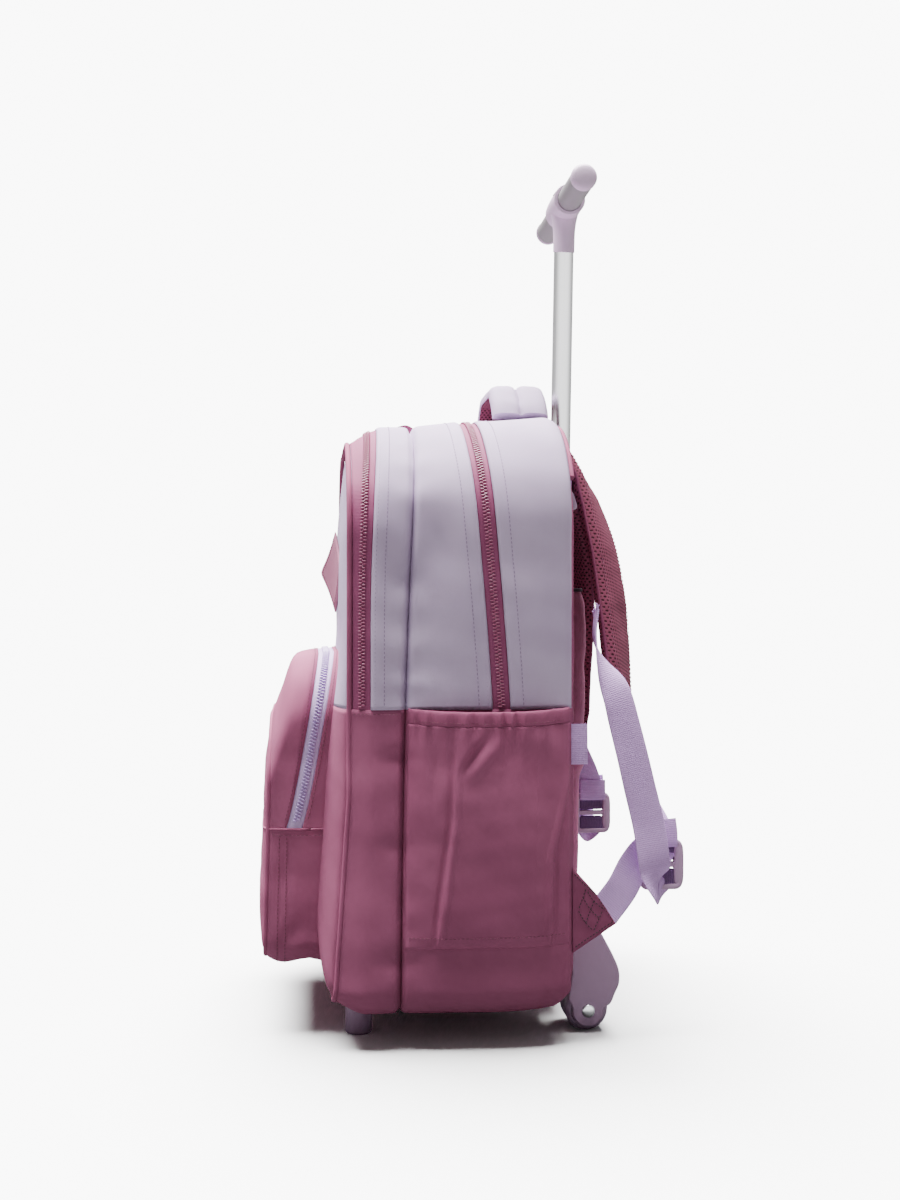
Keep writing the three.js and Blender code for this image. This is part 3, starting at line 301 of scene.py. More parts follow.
def tubeAlong(path, radius, sides=10, closed=False, up=(0, 1, 0), squash=1.0):
    # a round cord along a path: circles square to it
    path = np.asarray(path, float)
    if closed:
        tangent = unit(np.roll(path, -1, 0) - np.roll(path, 1, 0))
    else:
        tangent = unit(np.gradient(path, axis=0))
    side = unit(np.cross(np.broadcast_to(up, tangent.shape), tangent))
    lift = np.cross(tangent, side)
    a = circle(sides)
    rings = (path[:, None] + radius * (np.cos(a)[None, :, None] * side[:, None]
                                       + squash * np.sin(a)[None, :, None] * lift[:, None]))
    return closedGrid(rings) if closed else outward(loft(rings))


def turned(profile, axis, centre, sides=64, hoop=False):
    # a profile of (along, radius) turned round the x or z axis; a hoop's profile closes on itself
    a = circle(sides)
    h, r = np.asarray(profile, float).T[..., None]
    p, q = r * np.cos(a), r * np.sin(a)
    rings = stack(h + 0 * p, p, q) if axis == "x" else stack(p, q, h + 0 * p)
    rings = rings + np.asarray(centre, float)
    return closedGrid(rings) if hoop else outward(loft(rings))


def throughPoints(points, steps):  # cubic pieces through points, their slopes set by the root of each chord
    p = np.asarray(points, float)
    d = np.sqrt(np.linalg.norm(np.diff(p, axis=0), axis=1))[:, None]
    m = np.empty_like(p)
    m[1:-1] = ((p[1:-1] - p[:-2]) / d[:-1] - (p[2:] - p[:-2]) / (d[:-1] + d[1:])
               + (p[2:] - p[1:-1]) / d[1:])
    m[0], m[-1] = (p[1] - p[0]) / d[0], (p[-1] - p[-2]) / d[-1]
    u = np.linspace(0, len(p) - 1, steps)
    k = np.minimum(u.astype(int), len(p) - 2)
    t = (u - k)[:, None]
    h = d[k]
    return ((2 * t**3 - 3 * t**2 + 1) * p[k] + (t**3 - 2 * t**2 + t) * h * m[k]
            + (3 * t**2 - 2 * t**3) * p[k + 1] + (t**3 - t**2) * h * m[k + 1])


def onSurface(surface, a, b, reach=(0.5, 0.5), side=1):
    # points of surface(a, b) and its normals, from its slopes over a small reach; side turns them over
    du = surface(a + reach[0], b) - surface(a - reach[0], b)
    dv = surface(a, b + reach[1]) - surface(a, b - reach[1])
    return surface(a, b), unit(np.cross(du, dv)) * side


print("stage: shape tools ready")


def tint(r, g, b):  # a screen colour as the shader's linear one
    return tuple(((c / 255 + 0.055) / 1.055) ** 2.4 if c > 10 else c / 3295 for c in (r, g, b)) + (1,)


class Wire:  # a shader socket that sums and products can be written on
    def __init__(self, finish, socket):
        self.finish, self.socket = finish, socket

    def maths(self, kind, first, second=0.0):
        return self.finish.add("ShaderNodeMath", {"operation": kind}, {0: first, 1: second})

    def __add__(self, other):
        return self.maths("ADD", self, other)

    def __sub__(self, other):
        return self.maths("SUBTRACT", self, other)

    def __rsub__(self, other):
        return self.maths("SUBTRACT", other, self)

    def __mul__(self, other):
        return self.maths("MULTIPLY", self, other)

    def __truediv__(self, other):
        return self.maths("DIVIDE", self, other)

    def __pow__(self, other):
        return self.maths("POWER", self, other)

    __radd__, __rmul__ = __add__, __mul__

    def sine(self):
        return self.maths("SINE", self)

    def cut(self):  # what is left of a whole number
        return self.maths("FRACT", self)

    def least(self, other):
        return self.maths("MINIMUM", self, other)

    def step(self, start, end):  # 0 below start, 1 above end
        return self.finish.add("ShaderNodeMapRange", {"interpolation_type": "SMOOTHSTEP"},
                               {"Value": self, "From Min": start, "From Max": end})


class Finish:
    def __init__(self, name, owner=None, shader="Principled BSDF", **fixed):
        self.material = owner or bpy.data.materials.new(name)
        self.material.use_nodes = True
        self.tree = self.material.node_tree
        self.shader = self.tree.nodes[shader]
        for key, value in fixed.items():
            self.shader.inputs[key.replace("_", " ")].default_value = value

    def add(self, kind, settings=None, inputs=None, out=0):
        node = self.tree.nodes.new(kind)
        for key, value in (settings or {}).items():
            setattr(node, key, value)
        for key, value in (inputs or {}).items():
            if isinstance(value, Wire):
                self.tree.links.new(value.socket, node.inputs[key])
            else:
                node.inputs[key].default_value = value
        return Wire(self, node.outputs[out])

    def place(self, kind="Object"):
        return self.add("ShaderNodeTexCoord", out=kind)

    def axes(self, kind):  # the map's u and v, or the place's x, y and z
        apart = self.add("ShaderNodeSeparateXYZ", inputs={0: self.place(kind)})
        return [Wire(self, socket) for socket in apart.socket.node.outputs]

    def noise(self, scale, detail=2.0, rough=0.5):
        return self.add("ShaderNodeTexNoise", inputs={
            "Vector": self.place(), "Scale": scale, "Detail": detail, "Roughness": rough})

    def blend(self, share, a, b):
        return self.add("ShaderNodeMix", {"data_type": "RGBA"}, {0: share, 6: a, 7: b}, out=2)

    def colour(self, wire):
        self.tree.links.new(wire.socket, self.shader.inputs["Base Color"])

    def rough(self, wire):
        self.tree.links.new(wire.socket, self.shader.inputs["Roughness"])

    def relief(self, height, depth):  # height from 0 to 1, depth in mm
        bump = self.add("ShaderNodeBump", inputs={"Height": height, "Distance": depth / 1000})
        self.tree.links.new(bump.socket, self.shader.inputs["Normal"])


def wovenCloth(name, light, dark, pitch=0.55, depth=0.17):  # plain weave with uneven dye
    f = Finish(name, Specular_IOR_Level=0.08)
    u, v, _ = f.axes("UV")
    k = 2 * math.pi / pitch
    weave = (u * k).sine() * (v * k).sine() * 0.5 + 0.5
    grain = f.noise(1500, 2)
    blotch = f.noise(14, 3, 0.55)
    f.colour(f.blend(blotch.step(0.3, 0.72) * 0.55 + grain * 0.35 + weave * 0.1, dark, light))
    f.rough(0.7 + grain * 0.16)
    f.relief(weave * 0.5 + grain * 0.5, depth)
    return f.material


def ribbedWeb(name, light, dark, rib=1.5, depth=0.25):  # ribs across the band, warp threads along it
    f = Finish(name, Roughness=0.65, Specular_IOR_Level=0.12)
    u, v, _ = f.axes("UV")
    warp = (u * (2 * math.pi / 1.05)).sine()
    ribs = (v * (2 * math.pi / rib) + warp * 1.2).sine() * 0.5 + 0.5
    grain = f.noise(1300, 2)
    f.colour(f.blend(ribs * 0.5 + grain * 0.5, dark, light))
    f.relief(ribs * 0.7 + warp * 0.15 + grain * 0.15, depth)
    return f.material


def spacerMesh(name, light, dark, hole=0.62, pitch=3.3):  # round holes in a honeycomb
    f = Finish(name, Roughness=0.75, Specular_IOR_Level=0.08)
    u, v, _ = f.axes("UV")
    a, b = u / pitch, v / (pitch * math.sqrt(3))
    gaps = []
    for shift in (0.0, 0.5):
        x = ((a + shift).cut() - 0.5) * pitch
        y = ((b + shift).cut() - 0.5) * (pitch * math.sqrt(3))
        gaps.append((x * x + y * y) ** 0.5)
    cloth = gaps[0].least(gaps[1]).step(hole, hole + 0.45)
    grain = f.noise(1200, 2)
    f.colour(f.blend(cloth * (0.75 + grain * 0.25), dark, light))
    f.relief(cloth * 0.85 + grain * 0.15, 0.6)
    return f.material


def mouldedPlastic(name, light, dark, roughness=0.42):
    f = Finish(name, Specular_IOR_Level=0.45)
    cloud = f.noise(22, 2)
    grain = f.noise(2200, 2)
    f.colour(f.blend(cloud * 0.6 + grain * 0.4, dark, light))
    f.rough(roughness - 0.05 + grain * 0.12)
    f.relief(grain, 0.05)
    return f.material


def drawnMetal(name, light, dark, roughness, streak=(900, 900, 5)):
    f = Finish(name, Metallic=1.0)
    place = f.add("ShaderNodeMapping", inputs={"Vector": f.place(), "Scale": streak})
    lines = f.add("ShaderNodeTexNoise", inputs={"Vector": place, "Scale": 1.0, "Detail": 2.0})
    f.colour(f.blend(lines, dark, light))
    f.rough(roughness - 0.05 + lines * 0.1)
    f.relief(lines, 0.02)
    return f.material


lilacCloth = wovenCloth("lilacCloth", tint(190, 172, 198), tint(176, 157, 186))
mauveCloth = wovenCloth("mauveCloth", tint(161, 92, 122), tint(144, 79, 108))
mauveTrim = wovenCloth("mauveTrim", tint(156, 88, 118), tint(138, 74, 102), pitch=0.8, depth=0.16)
zipTape = ribbedWeb("zipTape", tint(150, 80, 114), tint(128, 64, 96), rib=1.1, depth=0.15)
lilacTape = ribbedWeb("lilacTape", tint(212, 190, 228), tint(188, 162, 208), rib=1.1, depth=0.15)
strapMesh = spacerMesh("strapMesh", tint(120, 60, 80), tint(52, 18, 30))
# dark plum for the pads' edge binding: painted shade along each pad's rim
plumPaintedShade = wovenCloth("plumPaintedShade", tint(122, 62, 88), tint(102, 48, 72))
webbing = ribbedWeb("webbing", tint(214, 174, 228), tint(186, 144, 204))
# painted light: the mauve cloth made lighter for the mast cover, which lies in the straps' shade
paintedLightCoverCloth = wovenCloth("paintedLightCoverCloth", tint(206, 130, 164), tint(186, 114, 146))
gripPlastic = mouldedPlastic("gripPlastic", tint(226, 198, 226), tint(212, 184, 212))
lilacPlastic = mouldedPlastic("lilacPlastic", tint(186, 152, 184), tint(172, 138, 170))
wheelPlastic = mouldedPlastic("wheelPlastic", tint(180, 150, 180), tint(164, 134, 166), roughness=0.38)
mauveTeeth = mouldedPlastic("mauveTeeth", tint(158, 74, 112), tint(136, 58, 92), roughness=0.3)
lilacTeeth = mouldedPlastic("lilacTeeth", tint(190, 160, 214), tint(168, 138, 196), roughness=0.3)
lilacThread = mouldedPlastic("lilacThread", tint(150, 128, 158), tint(132, 110, 142), roughness=0.6)
mauveThread = mouldedPlastic("mauveThread", tint(124, 60, 88), tint(104, 46, 72), roughness=0.6)
mastMetal = drawnMetal("mastMetal", (0.9, 0.9, 0.91, 1), (0.78, 0.78, 0.79, 1), 0.27)
rivetSteel = drawnMetal("rivetSteel", (0.8, 0.82, 0.84, 1), (0.6, 0.62, 0.64, 1), 0.3, streak=(300, 300, 300))
gripSleeve = mouldedPlastic("gripSleeve", tint(146, 140, 144), tint(132, 126, 130), roughness=0.5)
# dark cloth: the own colour of the tab's stitches and the grip's screw, and painted shade on the mast cover's
# top ring and rim cord
darkTrimAndPaintedShade = wovenCloth("darkTrimAndPaintedShade", tint(84, 70, 78), tint(58, 46, 54))
print("stage: finishes ready")


# Bag body: an arched outline seen from the front, carried from the back plane to the front edge
bag = {"halfWidth": 150, "baseZ": 23, "waistZ": 250, "topZ": 465, "topLift": 11, "frontDrop": 3,
       "mainDepth": 127.5, "pinchLean": 12, "frontDepth": 37.5, "bottomFlare": 11, "flareTopZ": 185,
       "upperCrown": 5, "lowerCrown": 18, "archRadius": 85, "baseRadius": 24, "edgeRoll": 9,
       "zipWidth": 13, "zipSpread": 7, "mainZipLow": 54, "mainZipHigh": 72, "pipingRadius": 2.1, "wall": 1.6,
       "spacing": 3.0, "seamDip": 1.6, "pucker": 0.5, "soft": 0.9, "softFine": 0.3}
bagRows = [
    {"at": 0, "side": 0.7, "top": 1.1, "low": 1.8},
    {"at": 0.03, "side": 0.35, "top": 0.55, "low": 1.0},
    {"at": 0.1, "side": 0.08, "top": 0.12, "low": 0.25},
    {"at": 0.36, "side": -0.38, "top": 0, "low": 0},
    {"at": 0.72, "side": -0.3, "top": 0.02, "low": 0},
    {"at": 0.95, "side": 0.0, "top": 0.1, "low": 0.05},
    {"at": 0.982, "side": 0.22, "top": 0.3, "low": 0.12},
    {"at": 1, "side": 0.75, "top": 0.75, "low": 0.3},
    {"at": 1.035, "side": 0.26, "top": 0.3, "low": 0.1},
    {"at": 1.12, "side": 0.06, "top": 0.1, "low": 0.03},
    {"at": 1.5, "side": 0, "top": 0, "low": 0},
    {"at": 2, "side": 0.8, "top": 1.1, "low": 1.2},
]
# Dents in the bag's sides: middle, half height and half depth of each, and how deep it goes
bagDents = [
    {"y": -97, "z": 388, "tall": 26, "wide": 16, "deep": 3.2},
    {"y": -78, "z": 352, "tall": 60, "wide": 14, "deep": -1.2},
    {"y": -124, "z": 352, "tall": 9, "wide": 10, "deep": 1.8},
    {"y": -120, "z": 345, "tall": 34, "wide": 26, "deep": 1.6},
    {"y": -123, "z": 279, "tall": 7, "wide": 14, "deep": 1.6},
    {"y": -128, "z": 215, "tall": 6, "wide": 13, "deep": 1.8},
    {"y": -131, "z": 151, "tall": 6, "wide": 12, "deep": 1.5},
    {"y": -129, "z": 66, "tall": 7, "wide": 12, "deep": 1.8},
    {"y": -30, "z": 330, "tall": 90, "wide": 26, "deep": -1.0},
    {"y": -25, "z": 425, "tall": 26, "wide": 20, "deep": 1.2},
    {"y": -150, "z": 120, "tall": 60, "wide": 12, "deep": 1.0},
]


def outlineLength(half, low, high, topRadius, lowRadius):  # round a box with two sizes of round corners
    return 2 * (2 * half + high - low - (2 - math.pi / 2) * (topRadius + lowRadius))


def archOutline(s, half, low, high, topRadius, lowRadius, side=0, foot=0, top=0):
    # walks the outline from the middle of its foot, a length s up the right side, over the top and back;
    # side, foot and top draw its straight runs in
    a = half - lowRadius
    b = a + math.pi * lowRadius / 2
    c = b + high - topRadius - low - lowRadius
    d = c + math.pi * topRadius / 2
    around = outlineLength(half, low, high, topRadius, lowRadius)
    s = np.mod(s, around)
    left = s > around / 2
    r = np.where(left, around - s, s)
    p = np.clip((r - a) / lowRadius, 0, math.pi / 2)
    q = np.clip((r - c) / topRadius, 0, math.pi / 2)
    over = np.maximum(r - d, 0) * (1 - side / (half - topRadius))
    x = np.minimum(r, a) * (1 - side / a) + lowRadius * np.sin(p) + topRadius * (np.cos(q) - 1) - over
    up = np.clip(r - b, 0, c - b) * (1 - (foot + top) / (c - b))
    z = low + foot + lowRadius * (1 - np.cos(p)) + up + topRadius * np.sin(q)
    turn = np.where(left, -1, 1)
    return x * turn, z, np.sin(p) * np.cos(q) * turn, np.sin(q) - np.cos(p)


bagHigh = bag["topZ"] + bag["topLift"]
bagArch = dict(half=bag["halfWidth"], low=bag["baseZ"], high=bagHigh,
               topRadius=bag["archRadius"], lowRadius=bag["baseRadius"])
bagFoot = bag["halfWidth"] - bag["baseRadius"] + math.pi * bag["baseRadius"] / 2
bagAround = outlineLength(**bagArch)


def bagAlong(z):  # how far along the outline the right side passes a height
    return bagFoot + z - bag["baseZ"] - bag["baseRadius"]


def pinchLine(z):  # y of the seam between the two compartments, leaning back with height squared
    share = np.clip((z - bag["baseZ"]) / (bag["topZ"] - bag["baseZ"]), 0, 1)
    return -bag["mainDepth"] + bag["pinchLean"] * share**2


def frontEdge(z):  # y of the body's front edge, further forward towards the foot
    flare = np.clip((bag["flareTopZ"] - z) / (bag["flareTopZ"] - bag["baseZ"]), 0, 1)
    return -bag["mainDepth"] - bag["frontDepth"] - bag["bottomFlare"] * flare


def mainZipLine(z):  # y of the main zip's middle, drifting forward with height
    share = np.clip((z - bag["waistZ"]) / (bagHigh - bag["waistZ"]), 0, 1)
    return -mix(bag["mainZipLow"], bag["mainZipHigh"], share**1.15)


def bagSkin(s, y, lift=0.0):
    # the outline at s, drawn in by the rows' insets at depth y and by the dents, lowered towards the front
    x, z, nx, nz = archOutline(s, **bagArch)
    pinch = pinchLine(z)
    at = np.where(y > pinch, y / pinch, 1 + (y - pinch) / (frontEdge(z) - pinch))
    at = np.maximum(at, 0)
    side, top, low = readRows(bagRows, at, "side", "top", "low")
    drawn = bag["edgeRoll"] * (side * nx**2 + top * np.maximum(nz, 0)**2 + low * np.maximum(-nz, 0)**2)
    fromSeam = np.abs(y - pinch)
    drawn = drawn + bag["seamDip"] * bell(fromSeam, 1.3)
    drawn = drawn + bag["pucker"] * bell(fromSeam, 14) * np.sin(s / 5.3 + 1.7 * np.sin(s / 31)) * nx**2
    for dent in bagDents:
        middle = bell(z - dent["z"], dent["tall"]) * bell(y - dent["y"], dent["wide"])
        drawn = drawn + dent["deep"] * middle * nx**2
    place = stack(x, y, z)
    drawn = drawn - bag["soft"] * crumple(place, 95, 0.4) - bag["softFine"] * crumple(place, 38, 1.9)
    rise = np.clip((z - bag["waistZ"]) / (bagHigh - bag["archRadius"] - bag["waistZ"]), 0, 1)
    lowered = (bag["topLift"] * np.clip(at, 0, 1) + bag["frontDrop"] * np.clip(at - 1, 0, 1)) * rise
    out = lift - drawn
    return stack(x + nx * out, y, z + nz * out - lowered)


waistRight = bagAlong(bag["waistZ"])
upperSpan = (waistRight, bagAround - waistRight)
lowerSpan = (bagAround - waistRight, bagAround + waistRight)


def bagBand(span, front, back, lift):
    # the skin between two upright lines: q runs from the front line to the back one
    s = np.linspace(span[0], span[1], int((span[1] - span[0]) / bag["spacing"]))
    _, z, _, _ = archOutline(s, **bagArch)
    wide = back(z) - front(z)
    rows = max(int(np.max(wide) / bag["spacing"]) + 4, 5)
    q = 0.5 - 0.5 * np.cos(np.linspace(0, math.pi, rows))
    q = mix(q, np.linspace(0, 1, rows), 0.6)
    y = front(z) + wide * q[:, None]
    return bagSkin(s[None] + 0 * y, y, lift(y - front(z), back(z) - y))


def rolled(edge, high):  # a folded hem: the last few mm of a cloth roll down to its neighbour
    return high * (1 - bell(edge, 1.3)) * (0.35 + 0.65 * bell(edge, 9))


topShare = lambda z: np.clip((z - 310) / (bagHigh - 310), 0, 1) ** 2
pipe = bag["pipingRadius"]
frontZipFront = lambda z: frontEdge(z) + pipe + 0.6
frontZipBack = lambda z: frontZipFront(z) + bag["zipWidth"] + bag["zipSpread"] * topShare(z)
mainZipFront = lambda z: mainZipLine(z) - bag["zipWidth"] / 2
mainZipBack = lambda z: mainZipLine(z) + bag["zipWidth"] / 2
backRim = lambda z: np.full_like(z, -0.8)
afterPiping = lambda z: frontEdge(z) + 0.4
behindPinch = lambda z: pinchLine(z) + 0.8

bandPieces = [
    {"name": "frontGussetUpper", "span": upperSpan, "front": frontZipBack, "back": behindPinch,
     "roll": (1.1, 0), "cloth": lilacCloth, "slot": "lilac_fabric", "node": "front_gusset_upper"},
    {"name": "mainGussetFront", "span": upperSpan, "front": pinchLine, "back": mainZipFront, "roll": (0, 1.1),
     "cloth": lilacCloth, "slot": "lilac_fabric", "node": "main_gusset_front"},
    {"name": "mainGussetBack", "span": upperSpan, "front": mainZipBack, "back": backRim, "roll": (1.1, 0),
     "cloth": lilacCloth, "slot": "lilac_fabric", "node": "main_gusset_back"},
    {"name": "frontGussetLower", "span": lowerSpan, "front": afterPiping, "back": behindPinch, "roll": (0, 0),
     "cloth": mauveCloth, "slot": "mauve_fabric", "node": "front_gusset_lower"},
    {"name": "mainTubLower", "span": lowerSpan, "front": pinchLine, "back": backRim, "roll": (0, 0),
     "cloth": mauveCloth, "slot": "mauve_fabric", "node": "main_tub_lower"},
]
for band in bandPieces:
    hem = lambda f, w: rolled(f, band["roll"][0]) + rolled(w, band["roll"][1])
    points = bagBand(band["span"], band["front"], band["back"], hem)
    build(band["name"], outward([grid(points)]), [band["cloth"]], slot=band["slot"], nodes=[band["node"]],
          wall=bag["wall"])


def radialPanel(ring, centre, crown, rows):
    # a panel inside an outline: the outline shrinks to its centre while the crown pushes it forward
    r = 1 - (np.arange(rows) / rows) ** 0.9
    r = r[:, None, None]
    flat = centre + (ring[None] - centre) * r
    flat[..., 1] = ring[None, :, 1] * r[..., 0] + centre[1] * (1 - r[..., 0])
    return flat - crown(flat, r[..., 0])[..., None] * [0, 1, 0]


def frontPanel(name, span, cloth, slot, node, tucks):
    s = np.linspace(span[0], span[1], int((span[1] - span[0]) / 4))
    _, z, _, _ = archOutline(s, **bagArch)
    ring = bagSkin(s, frontEdge(z) + 0.2, -0.6)
    centre = np.array([0, frontEdge(bag["waistZ"]), bag["waistZ"]], float)
    crownAt = lambda z: mix(bag["lowerCrown"], bag["upperCrown"],
                            step(z, bag["waistZ"] - 50, bag["waistZ"] + 60))

    def crown(flat, r):
        swell = crownAt(flat[..., 2]) * (1 - r**5) ** 0.7
        swell = swell - 2.5 * np.clip((flat[..., 2] - 380) / 60, 0, 1)
        return swell + 0.5 * crumple(flat, 80, tucks) * (1 - r**6)
    points = radialPanel(ring, centre, crown, 36)
    tip = centre - [0, crownAt(centre[2]), 0]
    points = np.concatenate([points, np.broadcast_to(tip, (1,) + points.shape[1:])])
    build(name, outward([grid(points)]), [cloth], slot=slot, nodes=[node], wall=bag["wall"], weld=True)


frontPanel("frontPanelUpper", upperSpan, lilacCloth, "lilac_fabric", "front_panel_upper", 0.3)
frontPanel("frontPanelLower", lowerSpan, mauveCloth, "mauve_fabric", "front_panel_lower", 1.3)


# Zips: a ribbed tape with two rows of moulded teeth that mesh down its middle
zipTeeth = {"pitch": 2.5, "wide": 3.3, "thick": 1.5, "high": 2.0, "boxy": 0.55, "apart": 1.15,
            "tapeDrop": 0.9}


def zipRow(surface, path, finish, name, slot, tape, tapeFinish, node, reach=(0.5, 0.5), side=1):
    # path gives (a, b) on the surface for a distance; b is across the zip
    parts = list(tape)
    tooth, *toothFaces = pebble(zipTeeth["wide"], zipTeeth["thick"], zipTeeth["high"], zipTeeth["boxy"])
    for edge in (-1, 1):
        a, b = path(edge * zipTeeth["apart"])
        line, normal = onSurface(surface, a, b, reach, side)
        crosswise = unit(np.cross(normal, np.gradient(line, axis=0)))
        where = evenly(line, zipTeeth["pitch"], zipTeeth["pitch"] / 2 * (edge > 0))
        for faces in toothFaces:
            parts.append(repeat({"points": tooth, "faces": faces, "slot": 1},
                                pick(line, where), pick(crosswise, where), pick(normal, where)))
    build(name, parts, [tapeFinish, finish], slot=slot, nodes=[node])


def bagZip(name, front, back, middle, node):
    drop = lambda f, w: -zipTeeth["tapeDrop"] + 0.5 * bell(np.minimum(f, w) - 6.5, 2.2)
    outer = bagBand(upperSpan, front, back, drop)
    inner = bagBand(upperSpan, front, back, lambda f, w: drop(f, w) - 0.9)
    ring = np.concatenate([outer, inner[::-1]])
    tape = outward([grid(np.swapaxes(ring, 0, 1), wrap=True)])

    def path(shift):
        s = np.linspace(upperSpan[0] + 1, upperSpan[1] - 1, 500)
        _, z, _, _ = archOutline(s, **bagArch)
        return s, middle(z) + shift
    surface = lambda s, y: bagSkin(s, y, -zipTeeth["tapeDrop"] + 0.9)
    zipRow(surface, path, mauveTeeth, name, "zip_tape", tape, zipTape, node)


frontZipMiddle = lambda z: mix(frontZipFront(z), frontZipBack(z), 0.5 + 0.14 * topShare(z))
bagZip("frontZip", frontZipFront, frontZipBack, frontZipMiddle, "front_zip")
bagZip("mainZip", mainZipFront, mainZipBack, mainZipLine, "main_zip")

# Piping along the bag's front edge
s = np.linspace(0, bagAround, 420, endpoint=False)
_, z, _, _ = archOutline(s, **bagArch)
build("frontPiping", tubeAlong(bagSkin(s, frontEdge(z) + 0.4, -0.9), pipe, closed=True), [mauveTrim],
      slot="mauve_trim", nodes=["front_piping"])

# Stitches: short beads of thread laid on the cloth
thread = {"pitch": 3.1, "long": 2.3, "thick": 0.55, "rows": (3.2, 9.8)}


def stitchLine(surface, a, b, lift, side=1, reach=(0.5, 0.5)):
    line, normal = onSurface(surface, a, b, reach, side)
    return beadParts(line + normal * lift, normal, thread["pitch"], thread["long"], thread["thick"] * 1.2,
                     thread["thick"])


def bagStitches(line):
    s = np.linspace(upperSpan[0] + 3, upperSpan[1] - 3, 500)
    _, z, _, _ = archOutline(s, **bagArch)
    return stitchLine(bagSkin, s, line(z), 0.75, side=-1)


lilacRows = []
for edge, away in ((frontZipBack, 1), (mainZipFront, -1), (mainZipBack, 1)):
    for gap in thread["rows"]:
        lilacRows += bagStitches(lambda z: edge(z) + away * gap)
build("zipStitches", lilacRows, [lilacThread], slot="lilac_fabric")
print("stage: body made")


# Front pocket: its outline narrows row by row from the bag's front edge (row 0) to the face (row 5)
# and on to the middle of the face (row 6); its seam runs level under the zip
pocket = {"halfWidth": 104, "lowZ": 53.5, "topZ": 291, "depth": 61, "lean": 5, "arch": 52, "corner": 20,
          "roll": 10, "seamZ": 157, "zipWidth": 12, "zipLow": 40.5, "zipHigh": 15, "pipeRow": 3.0,
          "pipe": 1.9, "wall": 1.4, "crown": 2.5, "soft": 0.5, "softFine": 0.25, "ripple": 1.7}
pocketRows = [
    {"at": 0, "side": 0, "top": 0, "low": 0},
    {"at": 0.64, "side": 0.03, "top": 0.7, "low": 0.05},
    {"at": 0.84, "side": 0.12, "top": 3.3, "low": 0.1},
    {"at": 0.94, "side": 0.4, "top": 5.2, "low": 0.4},
    {"at": 0.985, "side": 1.1, "top": 7.6, "low": 1.1},
    {"at": 1, "side": 3, "top": 10, "low": 3},
]
# Folds in the pocket's sides: middle, half length and half width of each, its turn in degrees and its depth
pocketFolds = [
    {"y": -203, "z": 82, "long": 26, "wide": 5.5, "turn": 52, "deep": 3.0},
    {"y": -196, "z": 92, "long": 26, "wide": 6, "turn": 56, "deep": -1.8},
    {"y": -188, "z": 71, "long": 14, "wide": 4, "turn": 62, "deep": 1.8},
    {"y": -214, "z": 120, "long": 30, "wide": 7, "turn": 76, "deep": 1.2},
    {"y": -183, "z": 215, "long": 30, "wide": 7, "turn": 96, "deep": 1.0},
    {"y": -216, "z": 190, "long": 26, "wide": 6, "turn": 82, "deep": 0.9},
]
pocketArch = dict(half=pocket["halfWidth"], low=pocket["lowZ"], high=pocket["topZ"],
                  topRadius=pocket["arch"], lowRadius=pocket["corner"])
pocketAround = outlineLength(**pocketArch)
pocketFront = frontEdge(bag["topZ"])


def foldDepth(folds, y, z):  # the sum of long soft folds lying on a side
    total = 0
    for fold in folds:
        turn = math.radians(fold["turn"])
        dy, dz = y - fold["y"], z - fold["z"]
        ahead = dy * math.cos(turn) + dz * math.sin(turn)
        aside = dz * math.cos(turn) - dy * math.sin(turn)
        total = total + fold["deep"] * bell(ahead, fold["long"]) * bell(aside, fold["wide"])
    return total


def pocketSkin(s, w):
    at, side, top, low = (smoothLine(np.minimum(w, 5), range(6), column(pocketRows, key))
                          for key in ("at", "side", "top", "low"))
    roll = pocket["roll"]
    x, z, nx, nz = archOutline(s, **pocketArch, side=side * roll, foot=low * roll, top=top * roll)
    lean = pocket["lean"] * np.clip((bag["waistZ"] - z) / (bag["waistZ"] - pocket["lowZ"]), 0, 1)
    y = pocketFront - at * (pocket["depth"] + lean)
    inner = np.clip(w - 5, 0, 1)
    x, z = x * (1 - inner), mix(z, pocket["seamZ"], inner)
    y = y - pocket["crown"] * np.clip(w - 3, 0, 3) / 3 * (1 - 0.3 * inner)
    facing = np.clip((w - 2.6) / 2, 0, 1)
    normal = unit(stack(nx * (1 - facing), -facing, nz * (1 - facing)))
    place = stack(x, y, z)
    out = -pocket["soft"] * crumple(place, 62, 2.3) - pocket["softFine"] * crumple(place, 27, 0.8)
    out = out - foldDepth(pocketFolds, y, z) * (1 - facing)
    out = out - pocket["ripple"] * np.sin(y / 6.5) * np.maximum(-nz, 0) ** 2 * (1 - facing)
    out = out + 0.5 * bell(w - pocket["pipeRow"] + 0.35, 0.3)
    return place + normal * out[..., None]


rowMarks = np.linspace(0, 5, 101)
sideMarks = np.linspace(0, pocketAround / 2, 400)
seamMarks = [np.interp(pocket["seamZ"], pocketSkin(sideMarks, np.full(400, w))[:, 2], sideMarks)
             for w in rowMarks]


def pocketUpper(t, w):  # t from 0 to 1: from the seam on the right, over the top, to the seam on the left
    seam = np.interp(w, rowMarks, seamMarks)
    return pocketSkin(mix(seam, pocketAround - seam, t), w)


def pocketLower(t, w):  # t from 0 to 1: from the seam on the left, under the pocket, to the seam on the right
    seam = np.interp(w, rowMarks, seamMarks)
    return pocketSkin(mix(pocketAround - seam, pocketAround + seam, t), w)


pocketSteps = np.linspace(0, 1, 240)
manyRows = np.linspace(0, 5, 160)
spread = pocketUpper(pocketSteps[:, None], manyRows[None] + 0 * pocketSteps[:, None])
zipShare = np.clip((spread[..., 2] - pocket["seamZ"]) / (pocket["topZ"] - pocket["seamZ"]), 0, 1)
aheadOfZip = spread[..., 1] - (pocketFront - mix(pocket["zipLow"], pocket["zipHigh"], zipShare**0.8))


def zipRows(shift):  # the row where the pocket's side lies that far behind the zip's middle, at every step
    return np.array([np.interp(-shift, -line, manyRows) for line in aheadOfZip])


def pocketBand(low, high, rows):
    q = np.linspace(0, 1, rows)[:, None]
    return pocketUpper(pocketSteps + 0 * q, mix(low, high, q))


